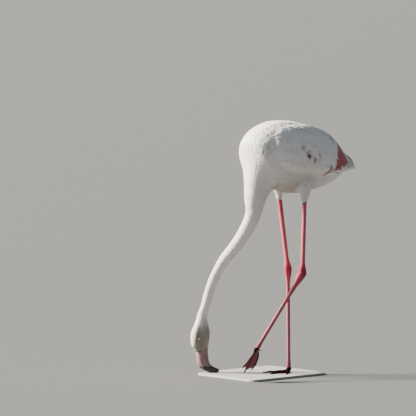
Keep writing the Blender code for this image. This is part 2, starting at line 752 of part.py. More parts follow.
def build_flamingo():
    clear_scene()
    collection = new_collection("greater_flamingo")
    cutters = new_collection("cutters")
    feathers = new_material("white_plumage", WHITE, 0.85)
    wing_feathers = new_material("wing_plumage", WHITE, 0.8)
    tail_feathers = new_material("tail_plumage", WHITE, 0.8)
    thigh_feathers = new_material("thigh_plumage", WHITE, 0.85)
    leg_skin = new_material("leg_skin", LEG_PINK, 0.5)
    foot_skin = new_material("foot_skin", CRIMSON, 0.55)
    bill_pink = new_material("bill_horn", BILL_PINK, 0.35)
    bill_black = new_material("bill_tip_horn", BILL_BLACK, 0.3)
    eye = new_material("eye", EYE_YELLOW, 0.08)
    claw = new_material("claw_horn", CLAW_GREY, 0.4)
    build_floor_cutter(cutters, claw)
    trunk_cutter = build_trunk(feathers, collection, cutters)
    build_neck(feathers, collection)
    build_head(feathers, eye, collection, cutters)
    build_bill(bill_pink, bill_black, collection)
    tail_cutter = build_tail(tail_feathers, trunk_cutter, collection, cutters)
    build_wings(wing_feathers, (trunk_cutter, tail_cutter), collection)
    for side in ("left", "right"):
        build_thigh(side, thigh_feathers, trunk_cutter, collection)
        build_shin(side, leg_skin, collection)
        build_foot(side, foot_skin, claw, collection, cutters)
    lift_bird((collection, cutters), STAND_THICKNESS + GAP)
    build_stand(new_material("stand_paint", STAND_GREY, 0.7), collection)


build_flamingo()
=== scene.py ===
import math

import bmesh
import bpy
import numpy as np
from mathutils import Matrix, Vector
from mathutils.bvhtree import BVHTree
from mathutils.kdtree import KDTree


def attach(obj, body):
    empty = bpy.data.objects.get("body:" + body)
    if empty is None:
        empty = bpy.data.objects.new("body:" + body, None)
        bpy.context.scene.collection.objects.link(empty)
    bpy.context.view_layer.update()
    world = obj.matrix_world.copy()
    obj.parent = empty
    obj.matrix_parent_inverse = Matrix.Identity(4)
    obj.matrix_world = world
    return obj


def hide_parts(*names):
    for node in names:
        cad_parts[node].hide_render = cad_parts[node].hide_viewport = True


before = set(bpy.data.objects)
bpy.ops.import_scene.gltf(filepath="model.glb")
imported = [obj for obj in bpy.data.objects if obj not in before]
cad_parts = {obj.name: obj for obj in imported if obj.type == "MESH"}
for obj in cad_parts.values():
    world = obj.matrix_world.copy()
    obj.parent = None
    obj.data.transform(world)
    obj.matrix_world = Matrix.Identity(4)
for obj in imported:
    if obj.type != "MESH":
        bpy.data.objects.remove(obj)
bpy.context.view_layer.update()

# The skin. A flamingo is one unbroken sheet of thin skin from the rump over the back, down the neck to
# the root of the bill, with the folded wings and the upper thighs. It lies under the plumage by the
# depth of the feathers, and it is bare and pink only round the eyes and in front of them.
SOLE = 0.0083
MIDDLE = 0.007
MM = 0.001
UP = np.array([0, 0, 1.0])
SAME_PLACE = 1e-6
LINE_STEP = 0.004
SKIN_CELL = 0.00315
SKIN_GROW = 0.0006
SKIN_PARTS = (
    "trunk", "neck_lower", "neck_middle", "neck_upper", "head", "wing_left", "wing_right", "tail",
    "thigh_left", "thigh_right",
)
BODY_LINE = (
    # millimetres: from the rump over the back and down the neck to the root of the bill
    (7, 294, 695), (7, 277, 704), (7, 245, 716.5), (7, 197, 725.5), (7, 148, 733.5), (7, 92.5, 739.5),
    (7, 32.5, 743.5), (7, -30, 749), (7, -81, 753.5), (7, -115.5, 749.5), (7, -141, 737),
    (7, -156, 716.5), (7, -158, 692), (6.8, -160, 664), (6.5, -162, 633.5), (6, -166, 607),
    (4.5, -168.6, 568), (-6, -172, 535), (-24, -179, 500), (-46, -187, 465), (-73.5, -197.5, 429),
    (-103, -208, 394), (-125, -216, 358), (-142, -222.5, 323), (-155, -227.5, 288), (-165, -231, 256),
    (-174, -234.5, 224), (-183, -237.5, 199), (-185.3, -240.1, 164), (-186.3, -241.2, 130),
    (-185, -239.7, 93),
)
THIGH_LINES = (
    ((0.077, 0.0055, 0.69), (0.0722, 0.0065, 0.59)),
    ((-0.046, -0.0182, 0.69), (-0.0355, -0.0115, 0.592)),
)


def unit(rows):
    return rows / np.maximum(np.linalg.norm(rows, axis=-1, keepdims=True), 1e-12)


def reach_along(line):
    """The length of a line from its start to each of its places."""
    return np.concatenate([[0], np.cumsum(np.linalg.norm(np.diff(line, axis=0), axis=1))])


def soften(line, rounds):
    """Each place moves half way to the middle of its neighbours. The ends stay."""
    for _ in range(rounds):
        line[1:-1] = 0.25 * line[:-2] + 0.5 * line[1:-1] + 0.25 * line[2:]
    return line


points = np.array(BODY_LINE) * MM
reach = reach_along(points)
marks = np.linspace(0, reach[-1], int(reach[-1] / LINE_STEP) + 1)
body_line = soften(np.stack([np.interp(marks, reach, column) for column in points.T], axis=1), 30) + UP * SOLE
headward = unit(np.gradient(body_line, axis=0))
line_reach = reach_along(body_line)
NECK_ROOT = float(np.interp(-0.607 - SOLE, -body_line[60:, 2], line_reach[60:]))
HEAD_ROOT = float(np.interp(-0.199 - SOLE, -body_line[60:, 2], line_reach[60:]))
LINE_END = float(line_reach[-1])


def along_body(places):
    """For each place: its reach along the body line, its distance from it, and the way tailwards."""
    reach = np.empty(len(places))
    away = np.empty(len(places))
    tailward = np.empty((len(places), 3))
    for start in range(0, len(places), 4000):
        part = slice(start, start + 4000)
        gap = np.linalg.norm(places[part, None, :] - body_line[None, :, :], axis=2)
        near = gap.min(axis=1)
        share = np.exp(-(gap - near[:, None]) / 0.012)
        share /= share.sum(axis=1)[:, None]
        away[part] = near
        reach[part] = share @ line_reach
        tailward[part] = -(share @ headward)
    return reach, away, tailward


def square_to(ways, normals):
    """These ways laid square to the normals."""
    return unit(ways - normals * np.sum(ways * normals, axis=1)[:, None])


def swung(ways, normals, angles):
    """These ways turned about the normals."""
    return ways * np.cos(angles)[:, None] + np.cross(normals, ways) * np.sin(angles)[:, None]


def add_object(name, data):
    made = bpy.data.objects.new(name, data)
    bpy.context.collection.objects.link(made)
    return made


def made_mesh(holder):
    """The plain mesh that an object's modifiers make. The object itself goes."""
    mesh = bpy.data.meshes.new_from_object(holder.evaluated_get(bpy.context.evaluated_depsgraph_get()))
    bpy.data.objects.remove(holder)
    return mesh


def welded(parts):
    """These solids together, each one's triangles joined at their corners."""
    solids = bmesh.new()
    for part in parts:
        solids.from_mesh(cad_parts[part].data)
    bmesh.ops.remove_doubles(solids, verts=solids.verts, dist=SAME_PLACE)
    solids.normal_update()
    return solids


def free_to_mesh(shape, name):
    mesh = bpy.data.meshes.new(name)
    shape.to_mesh(mesh)
    shape.free()
    return mesh


def flesh(parts, grow, cell):
    """The outline of several solids as one closed mesh of even cells, without the joints between them."""
    solids = welded(parts)
    for corner in solids.verts:
        corner.co += corner.normal * grow
    body = add_object("flesh", free_to_mesh(solids, "flesh"))
    cells = body.modifiers.new("cells", "REMESH")
    cells.mode = "VOXEL"
    cells.voxel_size = cell
    return made_mesh(body)


def read(items, name, width=3, kind=float):
    values = np.empty(len(items) * width, dtype=kind)
    items.foreach_get(name, values)
    return values.reshape(-1, width)


def read_places(mesh):
    return read(mesh.vertices, "co")


def read_normals(mesh):
    return read(mesh.vertices, "normal")


def read_edges(mesh):
    return read(mesh.edges, "vertices", 2, np.int64)


def write_places(mesh, places):
    mesh.vertices.foreach_set("co", places.ravel())
    mesh.update()


def relax(values, edges, rounds, share, back=-0.9):
    """Each value moves by this share towards the mean of its neighbours, and every other time by the share
    times back: back below 0 keeps the form's size while it smooths, and back 1 evens out folds."""
    ends = np.concatenate([edges[:, 0], edges[:, 1]])
    others = np.concatenate([edges[:, 1], edges[:, 0]])
    count = np.maximum(np.bincount(ends, minlength=len(values)), 1)
    for k in range(rounds):
        mean = np.stack([np.bincount(ends, values[others, c], len(values)) for c in range(3)], axis=1)
        values = values + (mean / count[:, None] - values) * (share if k % 2 == 0 else share * back)
    return values


def smooth(mesh, rounds, share):
    """Relaxes a mesh's corners in place."""
    places = relax(read_places(mesh), read_edges(mesh), rounds, share)
    write_places(mesh, places)
    return places


def ease(value, low, high):
    """0 below low, 1 above high, and a smooth rise between them."""
    t = np.clip((value - low) / (high - low), 0, 1)
    return t * t * (3 - 2 * t)


def bell(value, middle, width):
    """1 in the middle, and a smooth fall to 0 on both sides of it."""
    return np.exp(-(((value - middle) / width) ** 2))


def beside(places, lines):
    """The distance of each place from the nearest of these straight limbs."""
    gaps = []
    for line in lines:
        start, end = (np.array(end) + [0, 0, SOLE] for end in line)
        way = end - start
        share = np.clip((places - start) @ way / (way @ way), -0.2, 1.3)
        gaps.append(np.linalg.norm(places - start - share[:, None] * way, axis=1))
    return np.min(gaps, axis=0)


def gap_to(places, tree):
    """The distance from each place to the nearest face in this tree."""
    return np.array([tree.find_nearest(place)[3] for place in places.tolist()])


skin_mesh = flesh(SKIN_PARTS, SKIN_GROW, SKIN_CELL)
places = smooth(skin_mesh, 8, 0.6)
reach = along_body(places)[0]
# the thighs run into the belly without a fold
near_thigh = (1 - ease(beside(places, THIGH_LINES), 0.055, 0.085)) * bell(places[:, 2], 0.676, 0.034)
places = relax(places, read_edges(skin_mesh), 200, near_thigh[:, None] * 0.6, back=1)
write_places(skin_mesh, places)
y, z = places[:, 1], places[:, 2]
out = np.abs(places[:, 0] - MIDDLE)
wing_gap = gap_to(places, BVHTree.FromBMesh(welded(("wing_left", "wing_right"))))
on_wing = 1 - ease(wing_gap, 0.0012, 0.004)
depth = np.interp(
    reach,
    (0.0, 0.05, 0.15, NECK_ROOT - 0.1, NECK_ROOT, HEAD_ROOT, HEAD_ROOT + 0.05, LINE_END - 0.012, LINE_END),
    (0.0026, 0.0036, 0.0042, 0.0042, 0.0034, 0.0022, 0.0016, 0.001, 0.0004),
)
under = ease(-read_normals(skin_mesh)[:, 2], 0.1, 0.6) * (1 - ease(reach, NECK_ROOT - 0.16, NECK_ROOT - 0.1))
depth = depth * (1 - under * 0.75)
thigh_share = (1 - ease(beside(places, THIGH_LINES), 0.034, 0.046)) * (z < 0.69)
depth = depth * (1 - thigh_share) + 0.0026 * thigh_share
# the breast's plumage laps over the wing's edge, so a furrow runs along the low front of the folded wing
wing_front = (1 - ease(y, -0.02, 0.09)) * (out > 0.022)
furrow = bell(wing_gap, 0.0075, 0.0055) * wing_front * (1 - ease(z, 0.73, 0.77))
# in front of the shoulder the plumage is notched, and a fold of it stands up behind the notch
behind_fold = y + 0.156 - (z - 0.782) * 0.5
at_fold = ease(z, 0.752, 0.772) * (1 - ease(z, 0.796, 0.822)) * (out > 0.03)
notch = bell(behind_fold, -0.01, 0.0065) * at_fold
fold = bell(behind_fold, 0.004, 0.006) * at_fold
depth = depth + 0.0014 * furrow + 0.0028 * notch - 0.0022 * fold
write_places(skin_mesh, places - read_normals(skin_mesh) * (depth + SKIN_GROW)[:, None])
places = smooth(skin_mesh, 6, 0.5)

# the head's own directions: the bird looks down, turned to its right, so its crown faces outwards
HEAD_TURN = math.radians(42)
FOREHEAD_RISE = 0.0036
SQUARER = 3
crown_way = np.array([-math.sin(HEAD_TURN), -math.cos(HEAD_TURN), 0.0])
left_way = np.array([math.cos(HEAD_TURN), -math.sin(HEAD_TURN), 0.0])
head_axis = np.array([-0.183, -0.2375, SOLE])
EYE_RADIUS = 0.0058
eye_middle = head_axis + crown_way * 0.0095 + UP * 0.119
eye_ways = {"left": left_way, "right": -left_way}
eye_places = {side: eye_middle + way * 0.0205 for side, way in eye_ways.items()}


def head_place(places):
    """Places in the head: out towards the crown, to the bird's left, and the height above the sole."""
    rel = places - head_axis
    return rel @ crown_way, rel @ left_way, rel[:, 2]


def from_axis(crown, left):
    """Steps out towards the crown and to the bird's left."""
    return np.outer(crown, crown_way) + np.outer(left, left_way)


fine = bmesh.new()
fine.from_mesh(skin_mesh)
for level in (0.178, 0.17):
    edges = [edge for edge in fine.edges if max(end.co.z for end in edge.verts) < level + SOLE]
    bmesh.ops.subdivide_edges(fine, edges=edges, cuts=1, use_grid_fill=True)
bmesh.ops.triangulate(fine, faces=[face for face in fine.faces if len(face.verts) > 4])
fine.to_mesh(skin_mesh)
fine.free()
added = np.zeros(len(skin_mesh.vertices) - len(places))
on_wing = np.concatenate([on_wing, added])
places = read_places(skin_mesh)
calm = relax(places, read_edges(skin_mesh), 10, 0.6)
places = np.where((places[:, 2] < 0.172 + SOLE)[:, None], calm, places)
write_places(skin_mesh, places)


def round_eye(places, side):
    """How far these places stand from the line through the eye, and how high above its middle."""
    rel = places - eye_places[side]
    height = rel @ eye_ways[side]
    return np.hypot(rel @ crown_way * 1.06, rel[:, 2] * 0.9), height


# the skin hollows in front of each eye, swells over the jaw, and folds into lids round the eyeball
normals = read_normals(skin_mesh)
crown, left, height = head_place(places)
in_head = 1 - ease(height, 0.15, 0.17)
lore = bell(crown, 0.004, 0.0085) * bell(height, 0.1015, 0.0075) * in_head
jaw = bell(crown, -0.014, 0.008) * bell(height, 0.117, 0.015) * in_head
brow = bell(crown, 0.0185, 0.0045) * bell(height, 0.117, 0.01) * in_head
swell = (-0.0016 * lore + 0.0012 * jaw + 0.0008 * brow) * np.minimum(np.abs(left) / 0.012, 1)
places = places + normals * swell[:, None]
forehead = np.maximum(normals @ crown_way, 0) * (0.6 + 0.4 * ease(height, 0.092, 0.106))
forehead = forehead * (1 - ease(height, 0.14, 0.168))
places = places + crown_way * (FOREHEAD_RISE * forehead)[:, None]
# the sides of the head are flatter than a round would be, so the corners of each slice stand out
crown, left, height = head_place(places)
middle = np.interp(height, (0.093, 0.12, 0.17, 0.2), (0.004, 0.0065, 0.004, 0.0))
turned = np.arctan2(left, crown - middle)
corner = (np.abs(np.cos(turned)) ** SQUARER + np.abs(np.sin(turned)) ** SQUARER) ** (-1 / SQUARER) - 1
corner = 1 + corner * (1 - ease(height, 0.15, 0.2)) * (0.4 + 0.6 * ease(height, 0.088, 0.104))
places = places + from_axis((crown - middle) * (corner - 1), left * (corner - 1))
# the feathered edge laps down over the root of the bill, furthest on the forehead and the cheeks
crown, _, height = head_place(places)
lap = 1 - ease(height, 0.0925, 0.112)
drop = lap * (0.0065 + 0.0115 * ease(crown, -0.018, 0.006))
crown, left, height = head_place(places - UP * drop[:, None])
narrow = 1 - 0.13 * (1 - ease(height, 0.08, 0.094))
places = head_axis + from_axis(crown * narrow, left * narrow) + np.outer(height, UP)
LID_OPENING = 0.004
LID_THICKNESS = 0.0007
LID_DEPTH = 0.0018
for side in ("left", "right"):
    ring, height = round_eye(places, side)
    near = (ring < 0.0105) & (height > 0)
    ball = np.sqrt(np.maximum((EYE_RADIUS + LID_THICKNESS) ** 2 - ring ** 2, 0))
    inner = np.sqrt(np.maximum(EYE_RADIUS ** 2 - ring ** 2, 0)) - LID_DEPTH
    folded = np.maximum(height, ball)
    lip = 1 - ease(ring, LID_OPENING - 0.0004, LID_OPENING + 0.0004)
    wanted = folded * (1 - lip) + inner * lip
    crease = 0.0005 * bell(ring, 0.0066, 0.0007)
    change = np.where(near, wanted - crease - height, 0)
    places = places + eye_ways[side] * change[:, None]
write_places(skin_mesh, places)

# what covers each place: the share of bare skin, and the colours of the plumage, which the skin shares
# with every feather that grows from it
WHITE = (0.86, 0.84, 0.815)
BLUSH = (0.84, 0.68, 0.65)
CRIMSON = (0.44, 0.06, 0.075)
MAROON = (0.17, 0.022, 0.035)
# painted light and shade: a sunlit cream for the crown, an olive shade for the face and the shoulder's notch,
# and an umber shade for the belly
SUNLIT_CREAM = (0.8, 0.74, 0.61)
OLIVE_SHADE = (0.215, 0.195, 0.15)
BELLY_SHADE_UMBER = (0.36, 0.31, 0.26)
BARE_PINK = (0.25, 0.19, 0.165)
DOWN_SHADE = 0.86
WEDGE = ((0.176, 0.8), (0.106, 0.708), (0.236, 0.727))
FLECKS = (
    # along the body, height, length, breadth, strength: where crimson shows between white coverts
    (-0.02, 0.764, 0.013, 0.0085, 1.0), (-0.038, 0.795, 0.011, 0.007, 0.6),
    (0.033, 0.758, 0.012, 0.007, 0.85), (0.006, 0.746, 0.011, 0.006, 0.75),
    (0.147, 0.812, 0.02, 0.0065, 0.8), (0.09, 0.707, 0.016, 0.012, 1.0),
    (0.17, 0.797, 0.016, 0.006, 0.5),
)


def blend_over(rows, over, share):
    """Colours, or ways, with this share of another laid over them, place by place."""
    rows = np.asarray(rows)
    return rows + (over - rows) * share[:, None]


def wedge_share(y, z):
    """1 inside the crimson wedge of coverts low on the rear of the folded wing, 0 outside it."""
    inside = np.full(len(y), 1e9)
    middle = np.mean(WEDGE, axis=0)
    for k in range(3):
        (ya, za), (yb, zb) = WEDGE[k], WEDGE[(k + 1) % 3]
        across = np.array([zb - za, ya - yb]) / math.hypot(yb - ya, zb - za)
        if (middle - WEDGE[k]) @ across < 0:
            across = -across
        inside = np.minimum(inside, (y - ya) * across[0] + (z - za) * across[1])
    return ease(inside, -0.004, 0.003)


def plumage_colour(places, reach):
    """The plumage's colour at these places: white, blushed in parts, crimson on the wings, with painted shade
    and sun.
    """
    y, z = places[:, 1], places[:, 2]
    out = np.abs(places[:, 0] - MIDDLE)
    in_neck = ease(reach, NECK_ROOT, NECK_ROOT + 0.12)
    in_head = ease(reach, HEAD_ROOT - 0.02, HEAD_ROOT + 0.05)
    wave = np.sin(y * 61 + places[:, 0] * 37) * np.sin(z * 53 + 1.3) * 0.5 + 0.5
    blush = 0.1 + 0.1 * wave - 0.03 * in_neck
    colour = blend_over(WHITE, BLUSH, np.clip(blush, 0, 1))
    # painted shade: the lower belly, except on the thighs, is painted a brownish umber where shade falls
    # under the body
    belly_shade = 0.88 * bell(y, -0.02, 0.105) * bell(np.maximum(z, 0.64), 0.64, 0.066) * (1 - in_neck)
    # painted shade and sun on the head: the face is painted olive, darker than its own soiled white, and a
    # strip along the crown's edge is painted a sunlit cream
    crown, _, height = head_place(places)
    on_crown = crown - (0.034 - 0.26 * (height - 0.092))
    face = in_head * (0.9 - 0.42 * ease(height, 0.135, 0.185)) * (1 - 0.92 * ease(on_crown, -0.005, 0.003))
    sunlit_crown_tint = in_head * ease(on_crown, -0.006, 0.006)
    # painted shade: an olive patch in the notch in front of the shoulder
    notch = 0.3 * bell(y, -0.172, 0.012) * bell(z, 0.797, 0.016)
    thigh = (1 - ease(beside(places, THIGH_LINES), 0.022, 0.04)) * (1 - ease(z, 0.655, 0.69))
    belly_shade = belly_shade * (1 - 0.75 * thigh)
    face = np.clip(face, 0, 0.92)
    for over, share in ((SUNLIT_CREAM, 0.7 * sunlit_crown_tint), (OLIVE_SHADE, face), (BELLY_SHADE_UMBER, belly_shade), (OLIVE_SHADE, notch)):
        colour = blend_over(colour, over, share)
    on_wing = (1 - ease(reach, NECK_ROOT - 0.1, NECK_ROOT - 0.05)) * ease(out, 0.01, 0.02)
    red = wedge_share(y, z) * on_wing
    dark = red * np.maximum(ease(0.722 - z + (y - 0.112) * 0.1, -0.01, 0.012), ease(y, 0.215, 0.228))
    for fy, fz, long, broad, strength in FLECKS:
        lean = ((y - fy) * 0.35 + (z - fz) * 0.94) / long
        wide = ((y - fy) * 0.94 - (z - fz) * 0.35) / broad
        fleck = strength * np.exp(-((lean ** 2 + wide ** 2) ** 1.6)) * on_wing
        red = np.maximum(red, fleck)
        dark = np.maximum(dark, fleck * 0.8 * (strength > 0.9))
    return blend_over(blend_over(colour, CRIMSON, red), MAROON, dark * 0.75)


def bare_share(places):
    """1 on the bare pink skin round the eyes and in front of them, 0 under the plumage."""
    crown, left, height = head_place(places)
    side = ease(np.abs(left), 0.006, 0.01)
    lore = side * (1 - ease(np.abs(crown - 0.005 - (height - 0.1) * 0.2), 0.0045, 0.0062))
    lore = lore * (1 - ease(height, 0.11, 0.115)) * (height > 0.05)
    for name in ("left", "right"):
        ring, up = round_eye(places, name)
        lore = np.maximum(lore, (1 - ease(ring, 0.0066, 0.008)) * (up > -0.004))
    return lore


reach, _, tailward = along_body(places)
for line in THIGH_LINES:
    on_thigh = (1 - ease(beside(places, (line,)), 0.03, 0.042)) * (1 - ease(places[:, 2], 0.66, 0.69))
    tailward = blend_over(tailward, unit(np.array(line[1]) - np.array(line[0])), on_thigh)
normals = read_normals(skin_mesh)
tailward = relax(square_to(tailward, normals), read_edges(skin_mesh), 9, 0.7)
tailward = square_to(tailward, normals)
skin_colour = blend_over(plumage_colour(places, reach) * DOWN_SHADE, BARE_PINK, bare_share(places))


def add_colour(mesh, name, colour):
    layer = mesh.color_attributes.new(name, "FLOAT_COLOR", "POINT")
    layer.data.foreach_set("color", np.hstack([colour, np.ones((len(colour), 1))]).ravel())


def add_number(mesh, name, numbers):
    layer = mesh.attributes.new(name, "FLOAT", "POINT")
    layer.data.foreach_set("value", np.asarray(numbers, dtype=np.float32))


def skin_map(places, reach):
    """The skin laid out flat: round the body line across, and along it upwards."""
    station = np.clip(np.searchsorted(line_reach, reach), 0, len(body_line) - 1)
    rel = places - body_line[station]
    left = unit(np.cross(headward[station], np.array([0.15, 0.35, 1.0])))
    top = np.cross(left, headward[station])
    angle = np.arctan2(np.sum(rel * left, axis=1), np.sum(rel * top, axis=1)) / (2 * math.pi)
    return np.stack([0.5 + angle * 0.96, 0.02 + 0.96 * reach / LINE_END], axis=1)


def set_inputs(node, inputs):
    for name, value in inputs.items():
        node.inputs[name].default_value = value


def new_material(name, inputs):
    """A material with a plain Principled shader that has these inputs, and its node tree and shader."""
    material = bpy.data.materials.new(name)
    material.use_nodes = True
    shader = material.node_tree.nodes["Principled BSDF"]
    set_inputs(shader, inputs)
    material.diffuse_color = shader.inputs["Base Color"].default_value
    return material, material.node_tree, shader


def add_node(tree, kind, inputs=None, **settings):
    node = tree.nodes.new(kind)
    for name, value in settings.items():
        setattr(node, name, value)
    set_inputs(node, inputs or {})
    return node


def wire(tree, *links):
    """Joins sockets. Each link is a node, its output, the next node and its input."""
    for start, output, end, entry in links:
        tree.links.new(start.outputs[output], end.inputs[entry])


def new_group(name, kind, inputs, outputs):
    """A node group with these named sockets, and its input and output nodes."""
    group = bpy.data.node_groups.new(name, kind)
    for way, sockets in (("INPUT", inputs), ("OUTPUT", outputs)):
        for label, socket in sockets:
            group.interface.new_socket(label, in_out=way, socket_type=f"NodeSocket{socket}")
    return group, add_node(group, "NodeGroupInput"), add_node(group, "NodeGroupOutput")


# one group of fine grain breaks up a colour and gives a bump height, for skin, horn, feathers and paint
grain, grain_in, grain_out = new_group(
    "fine grain", "ShaderNodeTree", (("Colour", "Color"), ("Scale", "Float"), ("Strength", "Float")),
    (("Colour", "Color"), ("Height", "Float")),
)
grain_place = add_node(grain, "ShaderNodeTexCoord")
grain_noise = add_node(grain, "ShaderNodeTexNoise", {"Detail": 4.0, "Roughness": 0.6})
grain_range = add_node(grain, "ShaderNodeMapRange", {"From Min": 0.25, "From Max": 0.75, "To Min": -1.0})
grain_amount = add_node(grain, "ShaderNodeMath", {2: 1.0}, operation="MULTIPLY_ADD")
grain_mix = add_node(grain, "ShaderNodeVectorMath", operation="SCALE")
wire(
    grain, (grain_place, "Object", grain_noise, "Vector"), (grain_in, "Scale", grain_noise, "Scale"),
    (grain_noise, "Fac", grain_range, "Value"), (grain_range, "Result", grain_amount, 0),
    (grain_in, "Strength", grain_amount, 1), (grain_in, "Colour", grain_mix, 0),
    (grain_amount, 0, grain_mix, "Scale"), (grain_mix, "Vector", grain_out, "Colour"),
    (grain_noise, "Fac", grain_out, "Height"),
)


def use_grain(tree, shader, colour, scale, strength, bump):
    """Runs a colour (plain, a socket or an attribute's name) through the grain, with a bump of its height."""
    if isinstance(colour, str):
        colour = add_node(tree, "ShaderNodeAttribute", attribute_name=colour).outputs["Color"]
    group = add_node(tree, "ShaderNodeGroup", {"Scale": scale, "Strength": strength}, node_tree=grain)
    if isinstance(colour, tuple):
        group.inputs["Colour"].default_value = (*colour, 1.0)
    else:
        tree.links.new(colour, group.inputs["Colour"])
    relief = add_node(tree, "ShaderNodeBump", {"Strength": 1.0, "Distance": bump})
    wire(
        tree, (group, "Colour", shader, "Base Color"), (group, "Height", relief, "Height"),
        (relief, "Normal", shader, "Normal"),
    )
    return relief


def add_relief(tree, shader, relief, strength, distance, source, output):
    """A second relief, driven by this output, laid over the first."""
    more = add_node(tree, "ShaderNodeBump", {"Strength": strength, "Distance": distance})
    wire(tree, (source, output, more, "Height"), (relief, "Normal", more, "Normal"),
         (more, "Normal", shader, "Normal"))


def keep_piece(name, mesh, material, parts=()):
    """Makes a finished piece of a mesh: it rides on the body and stands for its solids."""
    mesh.name = name
    if material.name not in mesh.materials:
        mesh.materials.append(material)
    piece = add_object(name, mesh)
    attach(piece, "root")
    if parts:
        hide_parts(*parts)


skin_mesh.shade_smooth()
add_colour(skin_mesh, "skin_colour", skin_colour)
skin_material, tree, shader = new_material("skin under the plumage", {"Roughness": 0.62})
use_grain(tree, shader, "skin_colour", 420.0, 0.1, 0.0004)
keep_piece("skin", skin_mesh, skin_material, SKIN_PARTS)

# The eyes. Each is one wet ball, set in its lids: a pale yellow iris round a black pupil, under a clear
# cornea that stands a little proud of the ball.
IRIS_RADIUS = 0.0043
PUPIL_EDGE = 0.0017 / EYE_RADIUS
CORNEA_RISE = 0.0005
EYE_RINGS = (
    # the share of the way out from the middle, and the colour: pupil, iris, its dark edge, the white
    (PUPIL_EDGE - 0.02, (0.004, 0.004, 0.004)), (PUPIL_EDGE + 0.02, (0.3, 0.2, 0.05)),
    (0.36, (0.5, 0.38, 0.11)), (0.6, (0.56, 0.45, 0.17)), (0.69, (0.35, 0.22, 0.07)),
    (0.74, (0.05, 0.03, 0.02)), (0.8, (0.55, 0.42, 0.38)),
)
wet = {"Roughness": 0.06, "Coat Weight": 1.0, "Coat Roughness": 0.02}
eye_material, tree, shader = new_material("eyeball", wet)
rings = add_node(tree, "ShaderNodeAttribute", attribute_name="from_pupil")
iris = add_node(tree, "ShaderNodeValToRGB")
ramp = iris.color_ramp.elements
for k, (place, colour) in enumerate(EYE_RINGS):
    ring = ramp[k] if k < 2 else ramp.new(place)
    ring.position = place
    ring.color = (*colour, 1)
wire(tree, (rings, "Fac", iris, "Fac"))
use_grain(tree, shader, iris.outputs["Color"], 1500.0, 0.22, 0.00002)
for side in ("left", "right"):
    shape = bmesh.new()
    bmesh.ops.create_uvsphere(shape, u_segments=48, v_segments=32, radius=EYE_RADIUS)
    ball = free_to_mesh(shape, f"eye_{side}")
    rel = read_places(ball)
    turn = np.stack([np.cross(UP, eye_ways[side]), UP, eye_ways[side]])
    off_axis = np.hypot(rel[:, 0], rel[:, 1])
    front = rel[:, 2] > 0
    add_number(ball, "from_pupil", np.where(front, off_axis / EYE_RADIUS, 1.0))
    rel[:, 2] += np.where(front, CORNEA_RISE * (1 - ease(off_axis, 0.0, IRIS_RADIUS)), 0)
    write_places(ball, rel @ turn + eye_places[side])
    ball.shade_smooth()
    keep_piece(f"eyeball_{side}", ball, eye_material, (f"eye_{side}",))

